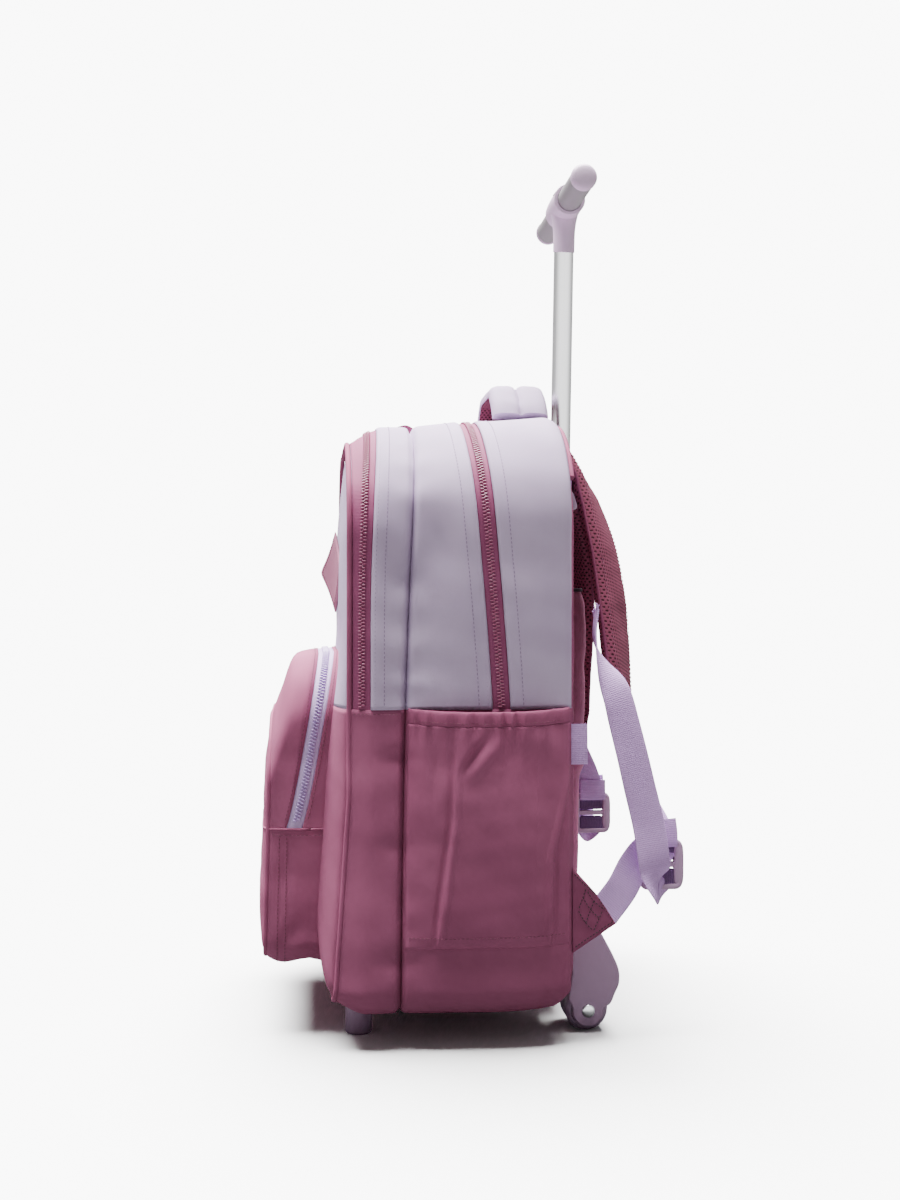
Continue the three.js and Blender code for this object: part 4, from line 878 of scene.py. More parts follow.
zipHalf = pocket["zipWidth"] / 2
zipAhead, zipBehind = zipRows(-zipHalf), zipRows(zipHalf)
faceRows = np.concatenate([np.linspace(0, 1, 26), 1 + np.linspace(0, 1, 26)[1:]])


def throughFace(low, surface):  # from a row on the side to row 5, and on to the middle of the face
    q = faceRows[:, None]
    w = np.where(q <= 1, mix(low, 5.0, np.minimum(q, 1)), 4 + q)
    return surface(pocketSteps + 0 * w, w)


clothPocket = dict(slot="mauve_fabric", wall=pocket["wall"])
build("pocketFront", outward([grid(throughFace(zipAhead, pocketUpper))]), [mauveCloth],
      nodes=["pocket_front"], weld=True, **clothPocket)
build("pocketGusset", outward([grid(pocketBand(0 * zipBehind, zipBehind, 26))]), [mauveCloth],
      nodes=["pocket_gusset"], **clothPocket)
build("pocketLower", outward([grid(throughFace(0 * pocketSteps, pocketLower))]), [mauveCloth],
      nodes=["pocket_lower"], weld=True, **clothPocket)

tapeRows = pocketBand(zipBehind, zipAhead, 9)
_, tapeNormal = onSurface(pocketUpper, pocketSteps, (zipAhead + zipBehind) / 2, (0.002, 0.02))
turn = np.sign(tapeNormal[120, 2])  # turns the normals over where they point into the pocket
tapeNormal = tapeNormal * turn
tapeRing = np.concatenate([tapeRows - tapeNormal * 0.6, (tapeRows - tapeNormal * 1.6)[::-1]])
tape = outward([grid(np.swapaxes(tapeRing, 0, 1), wrap=True)])


def pocketZipPath(shift):
    return pocketSteps[3:-3], zipRows(shift)[3:-3]


zipRow(pocketUpper, pocketZipPath, lilacTeeth, "pocketZip", "lilac_zip", tape, lilacTape, "pocket_zip",
       reach=(0.002, 0.02), side=turn)

# The pocket's piping, seams and stitches
s = np.linspace(0, pocketAround, 300, endpoint=False)
pipeLine = pocketSkin(s, np.full(300, pocket["pipeRow"]))
build("pocketPiping", tubeAlong(pipeLine, pocket["pipe"], closed=True), [mauveTrim], slot="mauve_trim")


def pocketStitches(surface, t, w):
    return stitchLine(surface, t, w, 0.35, side=turn, reach=(0.002, 0.02))


rows = pocketStitches(pocketUpper, pocketSteps[4:-4], zipRows(-zipHalf - 2.4)[4:-4])
rows += pocketStitches(pocketUpper, pocketSteps[4:-4], zipRows(zipHalf + 2.4)[4:-4])
for end in (0.012, 0.988):  # under the seam, on both sides and across the face
    rows += pocketStitches(pocketLower, np.full(80, end), np.linspace(0.1, 2.8, 80))
for row in (1.28, 1.75):  # two rows down the pocket's sides and under it
    rows += pocketStitches(pocketLower, np.linspace(0.008, 0.992, 400), np.full(400, row))
build("pocketStitches", rows, [mauveThread], slot="mauve_fabric")
seamCord = []
for end in (0.0, 1.0):
    seamCord += tubeAlong(pocketUpper(np.full(90, end), np.linspace(0.05, 5.95, 90)), 0.8, sides=6)
build("pocketSeam", seamCord, [mauveCloth], slot="mauve_fabric")
print("stage: front pocket made")


# Side pockets: a pleated pouch gathered under an elastic hem
pouch = {"lowZ": 76, "topZ": 251, "hem": 11, "hemThick": 3.4, "sag": 2, "edge": 2.5, "gather": 2.2,
         "pleat": 3.2, "lip": 1.2, "groove": 0.8, "soft": 0.6, "softFine": 0.3}
pouchRows = [  # how far the pouch stands off the bag's side, in mm, and how much of the pleat shows
    {"up": 0, "out": 0.4, "pleat": 0.1},
    {"up": 0.03, "out": 1.6, "pleat": 0.5},
    {"up": 0.2, "out": 4, "pleat": 1},
    {"up": 0.4, "out": 6, "pleat": 1},
    {"up": 0.6, "out": 8.4, "pleat": 0.8},
    {"up": 0.8, "out": 10.6, "pleat": 0.5},
    {"up": 1, "out": 12, "pleat": 0.05},
]
# The box pleat's two edges, as y at a height
pleatFront = [(76, -102), (104, -99), (168, -91), (218, -89)]
pleatBack = [(76, -17), (142, -16), (202, -1), (218, 2)]
pouchFolds = [
    {"y": -75, "z": 219, "long": 15, "wide": 3.4, "turn": 52, "deep": 3.4},
    {"y": -69, "z": 213, "long": 16, "wide": 4.5, "turn": 50, "deep": -2.0},
    {"y": -84, "z": 212, "long": 20, "wide": 4.5, "turn": 62, "deep": -1.4},
    {"y": -52, "z": 214, "long": 22, "wide": 6, "turn": 80, "deep": 1.5},
    {"y": -34, "z": 205, "long": 26, "wide": 7, "turn": 98, "deep": 1.2},
    {"y": -103, "z": 206, "long": 24, "wide": 5, "turn": 84, "deep": 1.5},
    {"y": -60, "z": 120, "long": 34, "wide": 14, "turn": 95, "deep": 0.9},
    {"y": -40, "z": 150, "long": 40, "wide": 16, "turn": 82, "deep": -0.9},
]


def gathers(u):  # uneven ripples along the hem
    return np.sin(u * 62 + 1.8 * np.sin(u * 11))


def pouchSkin(u, v):  # u from front to back, v from the foot to the hem's lower edge
    stand, shown = readRows(pouchRows, v, "out", "pleat")
    z = mix(pouch["lowZ"], pouch["topZ"] - pouch["hem"], v) - pouch["sag"] * np.sin(math.pi * u) * v
    y = mix(pinchLine(z) + pouch["edge"], -pouch["edge"], u)
    edge = np.minimum(1, 1.3 * np.maximum(np.sin(math.pi * u), 0) ** 0.6)
    front = np.interp(z, *zip(*pleatFront))
    back = np.interp(z, *zip(*pleatBack))
    raised = step(y, front - 0.9, front + 0.9) * (1 - step(y, back - 0.9, back + 0.9))
    lips = pouch["lip"] * bell(y - front - 3, 2.6) + pouch["lip"] * bell(y - back + 3, 2.6)
    grooves = pouch["groove"] * bell(y - front + 2.4, 1.8) + pouch["groove"] * bell(y - back - 2.4, 1.8)
    out = stand * edge + (pouch["pleat"] * raised + lips - grooves) * shown
    out = out + pouch["gather"] * gathers(u) * (0.6 + 0.4 * np.sin(u * 23)) * bell(1.02 - v, 0.09) * edge
    out = out - foldDepth(pouchFolds, y, z) * edge
    place = stack(0 * y, y, z)
    out = out - (pouch["soft"] * crumple(place, 60, 1.2) + pouch["softFine"] * crumple(place, 24, 2.7)) * edge
    return stack(bagSkin(bagAlong(z), y)[..., 0] + out, y, z)


u, v = np.meshgrid(np.linspace(0, 1, 150), np.linspace(0, 1, 90))
bothSides("sidePocket", outward([grid(pouchSkin(u, v))]), [mauveCloth], slot="mauve_fabric",
          nodes=["side_pocket"], wall=pocket["wall"])

# The hem: a soft flat band round the elastic, gathered like the cloth under it
u = np.linspace(0, 1, 220)
a = circle(18)
ripple = 1 + 0.07 * gathers(u)
top = pouchSkin(u, np.ones_like(u))
bulge = softPower(np.cos(a), 0.75) * pouch["hemThick"] / 2
tall = softPower(np.sin(a), 0.6) * pouch["hem"] / 2
waist = 1 - 0.16 * bell(np.sin(a) + 0.5, 0.16)
hemRing = stack(top[:, :1] - 1.0 + bulge * ripple[:, None] * waist, top[:, 1:2],
                top[:, 2:] + pouch["hem"] / 2 + tall)
hemRing = hemRing + np.array([1.0, 0, 0]) * (0.25 * crumple(hemRing, 18, 0.5))[..., None]
bothSides("sideHem", outward(loft(hemRing)), [mauveTrim], slot="mauve_trim", nodes=["side_hem"])


def hemFace(a, b):  # the hem's outermost line at a of 100 along it, b mm higher
    x, y, z = (np.interp(a, np.linspace(0, 100, 220), hemRing[:, 0, k]) for k in range(3))
    return stack(x, y, z + b)


rows = stitchLine(hemFace, np.linspace(3, 97, 200), np.full(200, -2.9), 0.15)
line = np.linspace(0.02, 0.98, 220)
rows += stitchLine(pouchSkin, line, np.full(220, 0.052), 0.3, reach=(0.002, 0.002))
bothSides("sidePocketStitches", rows, [mauveThread], slot="mauve_fabric")

# Waist stitches on both sides of the front gusset
rows = []
for end in (-1, 1):
    s = bagAround * (end < 0) + end * bagAlong(bag["waistZ"] - thread["rows"][0])
    y = np.linspace(frontEdge(bag["waistZ"]) + 3, pinchLine(bag["waistZ"]) - 3, 60)
    rows += stitchLine(bagSkin, np.full(60, s), y, 0.3, side=-1)
build("waistStitches", rows, [mauveThread], slot="mauve_fabric")
print("stage: side pockets made")


# Back panel: a padded panel with a flat channel for the mast
back = {"channel": 14, "yoke": 98, "yokeLow": 403, "yokeTop": 440, "yokeFront": 5.2, "yokeBack": 8.4}
panelRows = [{"share": 0, "y": -7.6}, {"share": 0.012, "y": -2.2}, {"share": 0.03, "y": 0.4},
             {"share": 0.06, "y": 2.6}, {"share": 0.13, "y": 4.3}, {"share": 0.22, "y": 5},
             {"share": 1, "y": 5}]
s = np.linspace(0, bagAround, 440, endpoint=False)
ring = bagSkin(s, np.full(440, -1.5), -2.4)
middle = np.array([0, 0, 252.0])
share = np.concatenate([np.linspace(0, 0.13, 18), np.linspace(0.15, 1, 40)])[:, None]
panel = mix(ring[None], middle, share[..., None])
panel[..., 1] = readRows(panelRows, share, "y")[0]
channel = 1 - step(np.abs(panel[..., 0]), back["channel"] - 1.2, back["channel"] + 1.6)
soft = np.maximum(panel[..., 1] + 0.5 * crumple(panel, 70, 3.1) * (share > 0.1), -9)
panel[..., 1] = soft - channel * np.maximum(panel[..., 1], 0)
padPiece = build("backPanel", outward([grid(panel, wrap=True)]), [mauveCloth], slot="mauve_fabric",
                 nodes=["back_panel"], wall=bag["wall"], weld=True)

# Binding: a folded strip over the seam between the back panel and the top
s = np.linspace(bagAlong(425), bagAround - bagAlong(425), 300)
build("backBinding", tubeAlong(bagSkin(s, np.full(300, 0.8), -2.2), 3.4, sides=12, squash=0.7),
      [mauveTrim], slot="mauve_trim")


def slab(low, high, power=0.12, rows=14):
    # a soft-edged block between two corners: a sphere whose sines and cosines are drawn towards 1
    low, high = np.asarray(low, float), np.asarray(high, float)
    t = np.linspace(0, math.pi, rows)[:, None]
    a = circle(40)
    ring = softPower(np.sin(t), power) * (np.sin(t) > 1e-6)
    shape = stack(softPower(np.cos(a), power) * ring, softPower(np.cos(t), power),
                  softPower(np.sin(a), power) * ring)
    shape = shape * (high - low) / 2 + low + (high - low) / 2
    return outward([grid(shape[1:-1], wrap=True)] + [fan(shape[k], shape[k].mean(0)) for k in (1, -2)])


for side, name in ((1, "right"), (-1, "left")):
    ends = sorted([side * (back["channel"] + 0.6), side * back["yoke"]])
    plate = slab([ends[0], back["yokeFront"], back["yokeLow"]], [ends[1], back["yokeBack"], back["yokeTop"]])
    build(f"strapYoke_{name}", plate, [webbing], slot="webbing", nodes=[f"strap_yoke_{name}"], crease=40)

# The mast's sizes come first, because its cover lies round it
mast = {"lean": math.radians(1), "footZ": 68, "footY": 10.6, "outer": 9.5, "inner": 8.3, "wall": 1,
        "topZ": 624, "outerTop": 432, "tubeLong": 370, "gripRise": 38, "gripHalf": 80, "grip": 9.9,
        "cap": 10.4}
axisY = lambda z: mast["footY"] + (z - mast["footZ"]) * math.tan(mast["lean"])

# Mast cover: a boxy sleeve of cloth, puckered at its seams, open at the top round the tube
cover = {"half": 60, "lowZ": 60, "topZ": 338, "deep": 30, "front": 5.3, "square": 0.32, "pucker": 0.8,
         "hole": 11}
coverRows = [
    {"up": 0, "half": 0.96, "deep": 0.77},
    {"up": 0.44, "half": 0.97, "deep": 0.84},
    {"up": 0.52, "half": 1, "deep": 0.97},
    {"up": 0.94, "half": 1, "deep": 1},
    {"up": 1, "half": 0.95, "deep": 0.92},
]


def coverSkin(t, up):  # t round the back from the right foot to the left one
    half, deep = readRows(coverRows, up, "half", "deep")
    c, d = np.cos(math.pi * t), np.sin(math.pi * t)
    x = softPower(c, cover["square"]) * half * cover["half"]
    y = cover["front"] + (deep * cover["deep"] - cover["front"]) * np.maximum(d, 0) ** cover["square"]
    z = mix(cover["lowZ"], cover["topZ"], up)
    seams = bell(up - 0.48, 0.05) + 0.6 * bell(up - 1, 0.05)
    place = stack(x, y, z)
    out = cover["pucker"] * np.sin(z / 3.7 + 2 * np.sin(z / 17)) * seams
    out = out - 0.6 * crumple(place, 50, 1.1) - 0.3 * crumple(place, 22, 0.2)
    return place + unit(stack(c, d, 0 * z)) * (out * np.minimum(d * 4, 1))[..., None]


t, up = np.meshgrid(np.linspace(0, 1, 110), np.linspace(0, 1, 110))
sleeve = coverSkin(t, up)
rim = sleeve[-1]
tubeHole = np.array([0, axisY(cover["topZ"]), cover["topZ"]])
hole = tubeHole + unit((rim - tubeHole) * [1, 1, 0]) * cover["hole"]
share = np.linspace(0, 1, 8)[:, None, None]
lid = mix(rim, hole, share)
lid[..., 2] = cover["topZ"] - 3 * np.sin(np.linspace(0, math.pi / 2, 8))[:, None]
foot = mix(sleeve[0], np.array([0, 14, cover["lowZ"]]), share)
# the cover's top ring (slot 1) is painted dark: painted shade
coverParts = outward([grid(sleeve), grid(foot, flip=True), grid(lid, slot=1)])
# the sleeve's cloth is the mauve cloth painted lighter: painted light
build("mastCover", coverParts, [paintedLightCoverCloth, darkTrimAndPaintedShade], slot="mauve_fabric", nodes=["mast_cover"], crease=50)
# the rim cord round the cover's top is painted dark: painted shade
build("mastCoverRim", tubeAlong(rim, 1.5, up=(0, 0, 1)), [darkTrimAndPaintedShade], slot="mauve_fabric")
print("stage: back made")


# Shoulder straps: a padded strap, a ladder buckle and three lengths of webbing on each side
pad = {"wide": 58, "thick": 14, "topZ": 446, "endZ": 219, "out": 50, "across": 150, "offBack": 9.0,
       "seam": 5.5}
padRoute = [
    {"drop": 0, "out": 0.12, "across": 0.3, "face": 88},
    {"drop": 0.084, "out": 0.42, "across": 0.34, "face": 76},
    {"drop": 0.154, "out": 0.57, "across": 0.38, "face": 67},
    {"drop": 0.317, "out": 0.75, "across": 0.46, "face": 60},
    {"drop": 0.511, "out": 0.85, "across": 0.54, "face": 59},
    {"drop": 0.683, "out": 0.88, "across": 0.61, "face": 62},
    {"drop": 0.855, "out": 0.9, "across": 0.673, "face": 66},
    {"drop": 1, "out": 0.94, "across": 0.71, "face": 70},
]
web = {"wide": 25, "thick": 1.8}
buckle = {"x": 128, "y": 71, "z": 130, "wide": 33, "high": 38, "thick": 5, "bar": 4.5, "corner": 3.5}
tail = {"topZ": 321, "foldZ": 120, "out": 62}
# Routes from end to end, as shares of the way (the tail's x is in mm), and where the outside faces
linkRows = [
    {"x": 0, "y": 0, "z": 0.02, "face": 68},
    {"x": 0.4, "y": 0.3, "z": 0.35, "face": 50},
    {"x": 0.85, "y": 0.7, "z": 0.7, "face": 22},
]
tailRows = [
    {"x": 136, "y": 1.07, "z": -0.03, "face": 70},
    {"x": 144, "y": 1, "z": 0.06, "face": 8},
    {"x": 144, "y": 0.92, "z": 0.22, "face": 6},
    {"x": 144, "y": 0.81, "z": 0.36, "face": 8},
    {"x": 144, "y": 0.7, "z": 0.5, "face": 12},
    {"x": 144, "y": 0.62, "z": 0.6, "face": 14},
    {"x": 143, "y": 0.53, "z": 0.7, "face": 22},
    {"x": 138, "y": 0.37, "z": 0.82, "face": 62},
    {"x": 133, "y": 0.30, "z": 0.91, "face": 82},
    {"x": 130, "y": 0.33, "z": 1, "face": 86},
]


def strapFrames(places, faces, steps):  # the path with its outward and crosswise directions
    path = throughPoints(places, steps)
    along = unit(np.gradient(path, axis=0))
    angle = np.radians(smoothLine(np.linspace(0, len(places) - 1, steps), range(len(places)), faces))
    normal = stack(np.cos(angle), np.sin(angle), 0)
    normal = unit(normal - (normal * along).sum(-1, keepdims=True) * along)
    return path, normal, np.cross(along, normal)


def band(places, faces, steps, wide=web["wide"], cup=0.0, ruffle=0.0):
    # a flat strap with round edges; cup bends it across, ruffle waves its edges
    path, normal, crosswise = strapFrames(places, faces, steps)
    a = circle(28)
    e = softPower(np.cos(a), 0.35) * wide / 2
    h = softPower(np.sin(a), 0.6) * web["thick"] / 2
    share = e / wide * 2
    lift = h + cup * share ** 2 + ruffle * np.sin(np.arange(steps)[:, None] / 7 + e / 9) * share
    rings = path[:, None] + crosswise[:, None] * e[:, None] + normal[:, None] * lift[..., None]
    return mappedLoft(rings, e, path)


padPlaces = [(pad["across"] * r["across"], pad["out"] * r["out"], mix(pad["topZ"], pad["endZ"], r["drop"]))
             for r in padRoute]
padSteps = 130
path, normal, crosswise = strapFrames(padPlaces, column(padRoute, "face"), padSteps)


def padBody():  # a cushion with sewn edges: swollen between its rims, pinched at both ends
    share = np.linspace(0, 1, padSteps)[:, None]
    a = circle(56)[None]
    rim = np.abs(np.cos(a))
    ends = np.minimum(1, 3.2 * np.minimum(share + 0.05, 1.02 - share) ** 0.5)
    e = softPower(np.cos(a), 0.62) * (pad["wide"] / 2) * (0.9 + 0.1 * ends)
    lip = 1 - 0.3 * bell(rim - 0.93, 0.05)
    h = softPower(np.sin(a), 0.72) * pad["thick"] / 2 * lip
    h = h * np.minimum(1, 2.4 * np.minimum(share + 0.07, 1.03 - share) ** 0.42)
    place = path[:, None] + crosswise[:, None] * e[..., None] + normal[:, None] * h[..., None]
    soft = 0.45 * crumple(place, 46, 0.7) + 0.2 * crumple(place, 19, 2.2)
    place = place + normal[:, None] * (soft * np.sign(np.sin(a)) * (1 - rim**6))[..., None]
    place[..., 1] = np.maximum(place[..., 1], pad["offBack"])
    return place, e


places, e = padBody()
padParts = mappedLoft(places, e, places.mean(1))
for side, shape in (("right", padParts), ("left", mirrored(padParts))):
    build(f"strapPad_{side}", shape, [strapMesh], slot="strap_mesh", weld=True,
                    nodes=[f"strap_pad_{side}"])
# Edge binding round each pad, painted dark plum as shade along the pad's rim, and its stitches
rimPath = np.concatenate([places[6:-5, 0], places[-5:-4, 14], places[6:-5, 28][::-1]])
bothSides("strapBinding", tubeAlong(throughPoints(rimPath[::6], 300), 1.2, sides=8), [plumPaintedShade],
          slot="strap_mesh")
rows = []
for edge in (-1, 1):
    line = path + crosswise * edge * (pad["wide"] / 2 - pad["seam"])
    rows += beadParts(line[8:-6] + normal[8:-6] * 5.6, normal[8:-6], 3.3, 2.4, 0.7, 0.6)
bothSides("strapStitches", rows, [mauveThread], slot="strap_mesh")

# Webbing from the pad's end to the buckle
buckleAt = np.array([buckle["x"], buckle["y"], buckle["z"]], float)
padEnd = padPlaces[-1]
linkPlaces = [(mix(padEnd[0], buckle["x"], r["x"]), mix(padEnd[1], buckle["y"], r["y"]),
               mix(padEnd[2] + 4, buckle["z"] + 13, r["z"])) for r in linkRows]
linkPlaces.append((buckle["x"] + 2.6, buckle["y"], buckle["z"] + 17))
bothSides("linkWebbing", band(linkPlaces, column(linkRows, "face") + [0], 60, ruffle=0.25), [webbing],
          slot="webbing", nodes=["link_webbing"])
# its loop round the buckle's top bar, folded back on itself, as places from the buckle's middle
loopRoute = [(-3.2, 0, 31), (-3.6, 0, 20), (-2.8, 0, 13.4), (0.4, 0, 12.2), (3.3, 0, 14), (3.6, 0, 24),
             (2.4, -1, 34)]
bothSides("linkLoop", band(buckleAt + loopRoute, [180, 180, 180, 180, 0, 0, 0], 40, wide=web["wide"] - 1),
          [webbing], slot="webbing")

# Webbing from the tab up over the buckle's outer face: x, and shares of the way there in y and z
tab = {"x": 142.5, "corners": ((0.3, 132), (0.3, 68), (34, 89.8), (18, 112.2)), "thick": 3, "grip": (26, 101)}
turnZ = buckle["z"] + buckle["high"] * 0.34
facing = buckle["x"] + buckle["thick"] / 2 + web["thick"]
lowerRoute = [(tab["x"], -0.06, -0.09), (tab["x"] - 2.5, 0.27, 0.34),
              (mix(tab["x"] - 1.5, facing, 0.6), 0.5, 0.74), (facing + 2, 0.72, 0.98),
              (facing - web["thick"], 0.98, 0.95)]
lowerPlaces = [(x, mix(tab["grip"][0], buckle["y"], y), mix(tab["grip"][1], turnZ, z))
               for x, y, z in lowerRoute]
bothSides("lowerWebbing", band(lowerPlaces, [0, 4, 8, 8, 2], 70, cup=0.8), [webbing], slot="webbing",
          nodes=["lower_webbing"])

# The loose tail: from inside the buckle down to a fold, and up along the strap
tailPlaces = [(buckle["x"], buckle["y"], buckle["z"] - buckle["high"] * 0.2)]
tailPlaces += [(r["x"], r["y"] * tail["out"], mix(tail["foldZ"], tail["topZ"], r["z"])) for r in tailRows]
tailFaces = [0] + column(tailRows, "face")
bothSides("tailWebbing", band(tailPlaces, tailFaces, 190, cup=0.7, ruffle=0.3), [webbing], slot="webbing",
          nodes=["tail_webbing"])
# its cut end frays into loose threads
path, _, crosswise = strapFrames(tailPlaces, tailFaces, 190)
strands = []
for k in range(26):
    root = path[-1] + crosswise[-1] * (k / 25 - 0.5) * (web["wide"] - 1)
    rise = np.array([0, 0, 3.4 + 1.8 * math.sin(k * 2.4)])
    lean = np.array([math.sin(k * 1.7), math.cos(k * 2.9), 0]) * 0.9
    strands += tubeAlong([root - [0, 0, 2], root + rise * 0.5 + lean * 0.3, root + rise + lean], 0.4, sides=4,
                         up=(1, 0, 0))
bothSides("tailFray", strands, [webbing], slot="webbing")

# Ladder buckle: a rounded frame, its middle bar and the flange on its rear side
wide, high, thick, rail = buckle["wide"] / 2, buckle["high"] / 2, buckle["thick"] / 2, buckle["bar"]
corner = buckle["corner"]
loop = []
for k, (cy, cz) in enumerate([(1, -1), (1, 1), (-1, 1), (-1, -1)]):
    centre = np.array([0, cy * (wide - rail / 2 - corner), cz * (high - rail / 2 - corner)])
    angle = math.radians(-90 + 90 * k) + np.linspace(0, math.pi / 2, 8)
    loop.append(centre + stack(0, corner * np.cos(angle), corner * np.sin(angle)))
loop = np.concatenate(loop)
a = circle(16)
along = unit(np.roll(loop, -1, 0) - np.roll(loop, 1, 0))
side = np.cross(along, [1, 0, 0])
flat = softPower(np.cos(a), 0.55)[:, None] * rail / 2
deep = softPower(np.sin(a), 0.55)[:, None] * thick
buckleParts = closedGrid(loop[:, None] + side[:, None] * flat + np.array([1.0, 0, 0]) * deep + buckleAt)
soft = {"power": 0.45, "rows": 9}
buckleParts += slab(buckleAt + [-thick * 0.9, -wide + 2, -2.2],
                    buckleAt + [thick * 0.9, wide - 2, 2.2], **soft)
buckleParts += slab(buckleAt + [-thick * 1.1, wide - 7, -high + 3],
                    buckleAt + [thick * 1.1, wide + 0.8, high - 3], **soft)
bothSides("buckle", buckleParts, [lilacPlastic], slot="lilac_plastic", nodes=["buckle"], crease=40)
# the webbing's turns inside the frame, darker because they lie in its shade
shadedWeb = ribbedWeb("shadedWeb", tint(118, 88, 130), tint(88, 60, 100))
inner, outer = [-thick * 0.7, -wide + 4.5], [thick * 0.7, wide - 6]
turnsInside = slab(buckleAt + (inner + [3]), buckleAt + (outer + [high - 3]), power=0.3)
turnsInside += slab(buckleAt + (inner + [3 - high]), buckleAt + (outer + [-3]), power=0.3)
bothSides("buckleWebbing", turnsInside, [shadedWeb], slot="webbing", crease=40)

# Cloth tab that holds the lower webbing, sewn round its edge with a diamond and a cross inside
tabCorners = np.array(tab["corners"])
sewnLines = [(0.05, 0.06, 0.95, 0.1), (0.95, 0.1, 0.95, 0.9), (0.05, 0.94, 0.95, 0.9), (0.5, 0.14, 0.9, 0.5),
             (0.9, 0.5, 0.5, 0.86), (0.5, 0.86, 0.16, 0.5), (0.16, 0.5, 0.5, 0.14), (0.33, 0.3, 0.72, 0.7),
             (0.33, 0.7, 0.72, 0.3)]


def tabPoint(p, q):  # y and z at p from the bag to the tip and q from the lower to the upper edge
    top, foot, lowTip, highTip = tabCorners
    low = foot + (lowTip - foot) * p[..., None]
    high = top + (highTip - top) * p[..., None]
    return np.moveaxis(low + (high - low) * q[..., None], -1, 0)


p, q = np.meshgrid(np.linspace(0, 1, 30), np.linspace(0, 1, 40))
y, z = tabPoint(p, q)
inset = np.minimum(np.minimum(q, 1 - q) * 60, (1 - p) * 34)
edgeDrop = tab["thick"] / 2 * (1 - (1 - np.minimum(1, inset / 2.0)) ** 2) ** 0.5
sheetOut = stack(tab["x"] + edgeDrop + 0.15 * crumple(stack(0, y, z), 14, 0.3), y, z)
tabParts = outward([grid(sheetOut), grid(stack(tab["x"] - edgeDrop, y, z), flip=True)])
tabCloth = wovenCloth("tabCloth", tint(146, 82, 110), tint(130, 68, 96), pitch=0.9, depth=0.1)
bothSides("strapTab", tabParts, [tabCloth], slot="mauve_trim", nodes=["strap_tab"], weld=True)
rows = []
for p0, q0, p1, q1 in sewnLines:
    y, z = tabPoint(np.linspace(p0, p1, 40), np.linspace(q0, q1, 40))
    line = stack(tab["x"] + tab["thick"] / 2 + 0.25, y, z)
    rows += beadParts(line, np.broadcast_to([1.0, 0, 0], line.shape), 2.6, 1.9, 0.7, 0.6)
bothSides("tabStitches", rows, [darkTrimAndPaintedShade], slot="mauve_trim")
print("stage: straps made")


# Carry handle: two padded lobes over a mesh lining
handle = {"span": 50, "wide": 45, "thick": 11, "lining": 2, "rise": 22, "back": 25}
handleFoot = bag["topZ"] + bag["topLift"] * (1 - handle["back"] / bag["mainDepth"]) + 0.3
# the cushion's height at shares of its width: two lobes with a groove between them
lobeRows = [(-0.5, 0.42), (-0.47, 0.72), (-0.42, 0.92), (-0.3, 1.05), (-0.16, 1.05), (-0.06, 0.94), (0, 0.66),
            (0.06, 0.94), (0.16, 1.05), (0.3, 1.05), (0.42, 0.92), (0.47, 0.72), (0.5, 0.42)]


def handleFrame(t):  # the arched middle line and the way up square to it
    bend = np.minimum(1, 1.3 * np.maximum(np.sin(math.pi * t), 0) ** 0.7)
    path = stack(mix(-handle["span"], handle["span"], t), -handle["back"],
                 handleFoot - 1.5 + handle["rise"] * bend)
    up = np.cross(unit(np.gradient(path, axis=0)), [0, 1, 0])
    return path, up * np.sign(up[:, 2:])


def handleRings(low, high, wide, lobes):  # a section, flat below and lobed above, carried along the arch
    path, up = handleFrame(np.linspace(0.004, 0.996, 90))
    share = np.linspace(-0.5, 0.5, 41)
    y = np.concatenate([share, share[::-1]]) * wide
    h = np.concatenate([mix(low, high, smoothLine(share, *zip(*lobes))), low - 0.4 * (1 - (share * 2) ** 4)])
    rings = path[:, None] + up[:, None] * h[:, None] + stack(0, y, 0)
    soft = 0.4 * crumple(rings, 34, 0.6) + 0.2 * crumple(rings, 14, 1.5)
    return rings + up[:, None] * (soft * (h > low + 2))[..., None]


cushion = handleRings(handle["lining"] + 0.3, handle["thick"], handle["wide"], lobeRows)
build("carryHandle", outward(loft(cushion)), [lilacCloth], slot="lilac_fabric",
                nodes=["carry_handle"], crease=60)
lining = handleRings(0, handle["lining"], handle["wide"] - 2, [(-0.5, 1), (0.5, 1)])
build("handleLining", outward(loft(lining)), [strapMesh], slot="strap_mesh", nodes=["handle_lining"],
      crease=60)
path, up = handleFrame(np.linspace(0.05, 0.95, 200))
rows = []
for share, lift in ((-0.455, 8.4), (0, 8.0), (0.455, 8.4)):  # along both edges and between the lobes
    rows += beadParts(path + up * lift + [0, share * handle["wide"], 0], up, 3.1, 2.3, 0.66, 0.6)
build("handleStitches", rows, [lilacThread], slot="lilac_fabric")


def onMast(points, z):  # from places about the leaning axis, at that height, to places on the bag
    c, s = math.cos(mast["lean"]), math.sin(mast["lean"])
    x, y, up = np.moveaxis(np.asarray(points, float), -1, 0)
    return stack(x, axisY(z) + y * c + up * s, z + up * c - y * s)


def leaned(parts, z):  # parts made about the axis, set on the leaning mast at a height
    for part in parts:
        part["points"] = onMast(part["points"], z)
    return parts


def pipeBody(length, outer, foot):  # a tube with softened lips, its length along z from its foot
    lip, inner = mast["wall"] / 3, outer - mast["wall"]
    profile = [(0, inner), (0, outer - lip), (lip, outer), (length - lip, outer), (length, outer - lip),
               (length, inner)]
    return turned(profile, "z", (0, 0, foot), hoop=True)


# Mast: an aluminium tube that slides in another, with a plastic collar and heel
outerLong = (mast["outerTop"] - mast["footZ"]) / math.cos(mast["lean"])
build("outerTube", leaned(pipeBody(outerLong, mast["outer"], 0), mast["footZ"]), [mastMetal],
      slot="mast_metal", nodes=["outer_tube"], crease=30)
innerTube = pipeBody(mast["tubeLong"], mast["inner"], -mast["tubeLong"])
build("mastTube", leaned(innerTube, mast["topZ"]), [mastMetal], body="mast", slot="mast_metal",
      nodes=["mast_tube"], crease=30)

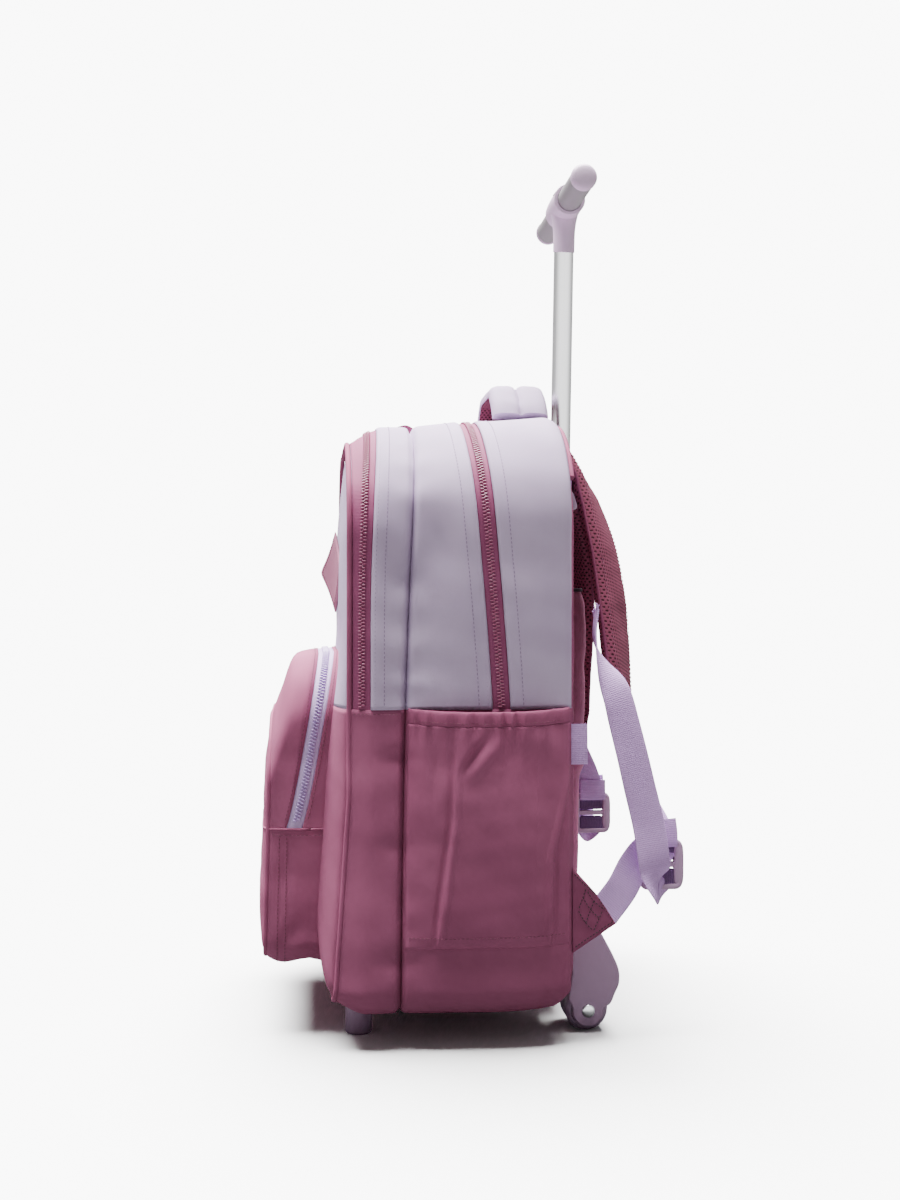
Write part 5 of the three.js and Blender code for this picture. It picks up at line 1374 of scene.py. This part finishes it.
collarRings = []
a = circle(72)
c, d = np.cos(a), np.sin(a)
collarY = axisY(419)  # half way up the collar
for z, grow in ((406, -1.6), (406.8, -0.3), (408.5, 0), (428, 0), (430.6, -0.5), (432, -2.2)):
    front = softPower(d, 0.28) * (collarY - 0.6)
    rear = np.abs(d) ** 0.6 * (13.8 + grow)
    collarRings.append(stack(softPower(c, 0.5) * (13.6 + grow), np.where(d < 0, front, rear) + collarY, z))
for z in (432, 406):
    collarRings.append(stack(c * 9.8, axisY(z) + d * 9.8, z))
build("mastCollar", closedGrid(np.array(collarRings)), [lilacPlastic], slot="lilac_plastic",
      nodes=["mast_collar"], crease=40)
build("mastHeel", slab([-13.5, 0.4, 63.8], [13.5, 19.6, 87.4], power=0.25), [lilacPlastic],
      slot="lilac_plastic", nodes=["mast_heel"], crease=40)

# Grip: a plain grey sleeve in a moulded T joint, with a domed cap at each end
cap, grip, gripHalf = mast["cap"], mast["grip"], mast["gripHalf"]
capProfile = [(0, 9.6), (0.3, cap), (3.4, cap + 0.05), (5.4, cap * 0.93), (6.9, cap * 0.72),
              (7.7, cap * 0.42), (8, cap * 0.12)]
gripCentre = (0, 0, mast["gripRise"])
for side, name in ((1, "right"), (-1, "left")):
    profile = [(side * (gripHalf + 0.3 + h), r) for h, r in capProfile]
    build(f"gripCap_{name}", leaned(turned(profile, "x", gripCentre, sides=72), mast["topZ"]), [gripPlastic],
          body="mast", slot="lilac_plastic", nodes=[f"grip_cap_{name}"], crease=50)
profile = [(-gripHalf, grip - 0.7), (0.6 - gripHalf, grip), (gripHalf - 0.6, grip), (gripHalf, grip - 0.7)]
build("gripBar", leaned(turned(profile, "x", gripCentre, sides=72), mast["topZ"]), [gripSleeve], body="mast",
      slot="grip_sleeve", nodes=["grip_bar"], crease=30)

socketProfile = [(-24, 10.3), (-24, 11.6), (-23.3, 12.3), (-12, 13.0), (0, 13.2), (12, 13.0), (21, 12.5),
                 (21.6, 13.1), (23.4, 13.1), (24, 12.5), (24, 10.3)]
socketParts = turned(socketProfile, "x", gripCentre, sides=96, hoop=True)
t = np.linspace(0, 1, 26)[:, None]
a = circle(96)
flare = 9.0 + 0.35 * t + 7.5 * np.maximum(t - 0.35, 0) ** 2.2
low = -1.8 * np.maximum(1 - t * 6, 0)
stemRing = stack(flare * np.cos(a) * (1 + 0.55 * np.maximum(t - 0.4, 0) ** 2), flare * np.sin(a),
                 mix(-0.3, 34, t) + low * np.cos(a))
socketParts += outward(loft(stemRing))
build("gripJoint", leaned(socketParts, mast["topZ"]), [gripPlastic], body="mast", slot="lilac_plastic",
      nodes=["grip_joint"], crease=40)
screw = turned([(13.0, 2.9), (13.35, 2.9), (13.35, 2.3), (12.2, 2.1), (12.0, 0.1)], "z", (0, 0, 0), sides=32)
c, d = math.cos(math.radians(35)), math.sin(math.radians(35))  # it points forward, 35 degrees up
for part in screw:
    x, y, z = part["points"].T
    part["points"] = stack(x + 13, y * d - z * c, z * d + y * c) + gripCentre
build("gripScrew", leaned(outward(screw), mast["topZ"]), [darkTrimAndPaintedShade], body="mast", slot="lilac_plastic",
      crease=40)

# Wheels: a moulded tyre with rim grooves, its fixed rivet, and the housing it turns in
wheel = {"x": 95, "y": 18, "z": 16.5, "radius": 16.5, "half": 15, "bore": 3.3}
housing = {"wall": 3.6, "gap": 1.4, "topZ": 106, "tongue": 12}
tread = wheel["radius"]
tyre = [(0.2, wheel["bore"]), (0.2, 5.2), (-0.4, 6.2), (-0.4, 8.4), (0.5, 9.2), (0.5, 10.2), (-0.3, 10.8),
        (-0.3, 12.2), (0.4, 12.8), (0.2, 14.1), (-1.2, 15.4), (-3.2, tread - 0.15), (-5.6, tread),
        (-8.0, tread)]
half = [(wheel["half"] + h, r) for h, r in tyre]
profile = half + [(-h, r) for h, r in half[::-1]]
wheelCentre = (wheel["x"], wheel["y"], wheel["z"])
wheelParts = turned(profile, "x", wheelCentre, sides=96, hoop=True)
for side, shape in (("right", wheelParts), ("left", mirrored(wheelParts))):
    build(f"wheel_{side}Tyre", shape, [wheelPlastic], body=f"wheel_{side}", slot="wheel_plastic",
          nodes=[f"wheel_{side}"], crease=35)
rivet = [(-22.2, 0.2), (-22.0, 2.4), (-21.4, 3.9), (-20.6, 4.9), (-20.3, 5), (-20.3, 3), (20.3, 3), (20.3, 5),
         (20.6, 4.9), (21.4, 3.9), (22.0, 2.4), (22.2, 0.2)]
bothSides("axleRivet", turned(rivet, "x", wheelCentre, sides=48), [rivetSteel],
          slot="rivet_steel", nodes=["axle"], crease=40)

# the side plate's outline: down its front, under the axle in a round tongue, up its back
housingRear = [(34.9, 21.2), (39, 29.7), (42, 36.6), (42, 46.6), (38, 57.2), (26, 80),
               (15.3, housing["topZ"])]
housingFront = [(5.3, housing["topZ"]), (5.3, 44.5), (2.6, 26)]
tongue = [(wheel["y"] + housing["tongue"] * math.cos(w), wheel["z"] + housing["tongue"] * math.sin(w))
          for w in np.radians(np.linspace(-190, 10, 22))]
outlineHigh = throughPoints([(0, *p) for p in [tongue[-1]] + housingRear], 60)[1:, 1:]
outline = np.concatenate([housingFront, tongue, outlineHigh, housingFront[:1]])
gapLength = travelled(outline)
where = np.linspace(0, gapLength[-1], 240, endpoint=False)
smoothOutline = np.stack([np.interp(where, gapLength, outline[:, k]) for k in (0, 1)], -1)
inward = np.roll(smoothOutline, -1, 0) - np.roll(smoothOutline, 1, 0)
inward = unit(np.stack([-inward[:, 1], inward[:, 0]], -1))
if ((np.array([20.0, 58.0]) - smoothOutline) * inward).sum() < 0:
    inward = -inward


def cheek(x0, x1):  # one side plate of the housing with softened edges
    steps = [(0, 0.9), (0.12, 0.25), (0.3, 0), (0.7, 0), (0.88, 0.25), (1, 0.9)]
    rings = np.array([stack(mix(x0, x1, share), *(smoothOutline + inward * w).T) for share, w in steps])
    caps = [fan(rings[k], [rings[k][0, 0], 20, 52], flip=k == 0) for k in (0, -1)]
    return outward([grid(rings, wrap=True)] + caps)


cheekIn = wheel["half"] + housing["gap"]
cheekOut = cheekIn + housing["wall"]
housingParts = cheek(wheel["x"] + cheekIn, wheel["x"] + cheekOut)
housingParts += cheek(wheel["x"] - cheekOut, wheel["x"] - cheekIn)
# the shell between the plates, up its front and down its back
rearRoute = [(0, 33.5, 30), (0, 39.5, 37), (0, 40.2, 46.6), (0, 36.4, 57.2), (0, 24.6, 80), (0, 14.2, 105.4)]
frontRoute = [(0, 7, 52), (0, 7, 80), (0, 7, 105)]
shell = np.concatenate([throughPoints(frontRoute, 20), throughPoints(rearRoute, 50)[::-1]])
across = unit(np.gradient(shell, axis=0))
across = np.stack([0 * across[:, 0], -across[:, 2], across[:, 1]], -1)
layers = []
for lift in (-1.5, 1.5):
    ends = [shell + across * lift + [wheel["x"] + w, 0, 0] for w in (-cheekIn - 1.5, cheekIn + 1.5)]
    layers.append(np.stack(ends, 1))
housingParts += outward(loft(np.concatenate([layers[0], layers[1][:, ::-1]], 1)))
bothSides("wheelHousing", housingParts, [lilacPlastic], slot="lilac_plastic", nodes=["wheel_housing"],
          crease=40)

# Feet
feet = {"x": 94, "y": -156, "high": 24, "radius": 10.3}
footProfile = [(0, 0.2), (0, 8.6), (0.5, 9.7), (1.6, feet["radius"]), (feet["high"], feet["radius"]),
               (feet["high"], 0.2)]
bothSides("foot", turned(footProfile, "z", (feet["x"], feet["y"], 0)), [lilacPlastic], slot="lilac_plastic",
          nodes=["foot"], crease=40)

# Patch: a leatherette diamond sewn on its near half, its far corner curling forward
patch = {"half": 34, "z": 353, "thick": 2, "curl": 15, "sewn": 28}
patchGrain = wovenCloth("patchGrain", tint(176, 118, 142), tint(150, 94, 118), pitch=1.3, depth=0.2)
face = frontEdge(patch["z"]) - bag["upperCrown"] - 1.2
t, w = np.meshgrid(np.linspace(0, 1, 60), np.linspace(-1, 1, 61))
x = mix(patch["half"], -patch["half"], t)
tall = np.maximum(patch["half"] - np.abs(x), 0.6)
y = face + 3.2 - patch["curl"] * t**2
z = patch["z"] + tall * w
front = stack(x, y - patch["thick"] * (1 - 0.7 * np.maximum(np.abs(w), np.abs(x) / patch["half"]) ** 8), z)
build("frontPatch", outward([grid(front), grid(stack(x, y, z), flip=True)]), [patchGrain],
      slot="patch_leather", nodes=["front_patch"], weld=True)
ringT = np.linspace(0, 4, 400, endpoint=False)
diamond = patch["sewn"] * np.array([(1, 0), (0, 1), (-1, 0), (0, -1), (1, 0)])
edge = np.stack([np.interp(ringT, range(5), diamond[:, k]) for k in (0, 1)], -1)
share = (patch["half"] - edge[:, 0]) / (2 * patch["half"])
line = stack(edge[:, 0], face + 3.1 - patch["curl"] * share**2 - patch["thick"], patch["z"] + edge[:, 1])
rows = beadParts(line, np.broadcast_to([0, -1.0, 0], line.shape), 3.0, 2.2, 0.7, 0.6)
build("patchStitches", rows, [mauveThread], slot="patch_leather")

# Label in the side seam: a strip of webbing folded once, bowing a little
label = {"x": 142.55, "fold": 1.35, "y": -0.5, "long": 12.3, "lowZ": 208, "topZ": 238}
q = np.linspace(0, 1, 16)
foldY = label["y"] + label["long"] * np.concatenate([q, q[::-1]])
foldX = label["x"] + np.concatenate([0.2 * np.sin(q * 3), 0.2 * np.sin(q[::-1] * 3) - label["fold"]])
rings = np.array([stack(foldX + 0.5 * math.sin(k / 6), foldY, z)
                  for k, z in enumerate(np.linspace(label["lowZ"], label["topZ"], 24))])
build("sideLabel", outward(loft(rings)), [webbing], slot="webbing", nodes=["side_label"], crease=50)

# The folded tab on top, over the seam between the two compartments
topTab = {"reach": 11.5, "high": 11.6, "half": 9, "baseZ": 463}
t = np.linspace(0, math.pi, 40)
loopPath = stack(0, pinchLine(bag["topZ"]) - topTab["reach"] * np.cos(t),
                 topTab["baseZ"] + topTab["high"] * np.sin(t) ** 0.8)
rings = np.array([loopPath + [topTab["half"] * w, 0, 0] for w in np.linspace(-1, 1, 14)])
rings = rings + np.array([0, 0, 1.0]) * (0.35 * crumple(rings, 9, 0.4))[..., None]
ends = [fan(rings[0], rings[0].mean(0)), fan(rings[-1], rings[-1].mean(0), flip=True)]
build("topTab", outward([grid(rings, wrap=True)] + ends), [mauveTrim], slot="mauve_trim", nodes=["top_tab"],
      crease=50)
print("stage: handle, mast, wheels and trim made")


# Floor and light: a soft overhead sun; the paper and sky are white to the camera alone
light = {"sun": 32.0, "soft": 56, "tiltFront": 6, "tiltSide": -14, "sky": 9.5, "gloss": 2.6, "low": 0.1,
         "high": 0.17, "paper": 0.95, "bounce": 0.1}
floor = bpy.data.meshes.new("floor")
floor.from_pydata([(-60, -60, 0), (60, -60, 0), (60, 60, 0), (-60, 60, 0)], [], [(0, 1, 2, 3)])
floorPiece = bpy.data.objects.new("floor", floor)
bpy.context.scene.collection.objects.link(floorPiece)
paper = Finish("studioPaper", Roughness=1.0, Specular_IOR_Level=0.0)
seen = paper.add("ShaderNodeLightPath", out="Is Camera Ray")
paper.colour(paper.blend(seen, (light["bounce"],) * 3 + (1,), (light["paper"],) * 3 + (1,)))
floor.materials.append(paper.material)

sky = Finish("studioSky", bpy.data.worlds.new("studioSky"), "Background", Color=(1, 1, 1, 1))
height = sky.axes("Generated")[2].step(-0.3, 1.0) * (light["high"] - light["low"]) + light["low"]
glossy = sky.add("ShaderNodeLightPath", out="Is Glossy Ray")
camera = sky.add("ShaderNodeLightPath", out="Is Camera Ray")
# reflections are brighter on the camera's side, so that round metal shades off at its sides
facingCamera = sky.axes("Generated")[0].step(-0.3, 0.9) * 0.75 + 0.25
strength = (1 - glossy) * height + glossy * light["gloss"] * facingCamera
strength = (1 - camera) * strength + camera * light["sky"]
sky.tree.links.new(strength.socket, sky.shader.inputs["Strength"])
bpy.context.scene.world = sky.material

sunLight = bpy.data.lights.new("overhead", "SUN")
sunLight.energy, sunLight.angle = light["sun"], math.radians(light["soft"])
sunPiece = bpy.data.objects.new("overhead", sunLight)
sunPiece.rotation_euler = (math.radians(light["tiltFront"]), math.radians(light["tiltSide"]), 0)
bpy.context.scene.collection.objects.link(sunPiece)

print("stage: done")
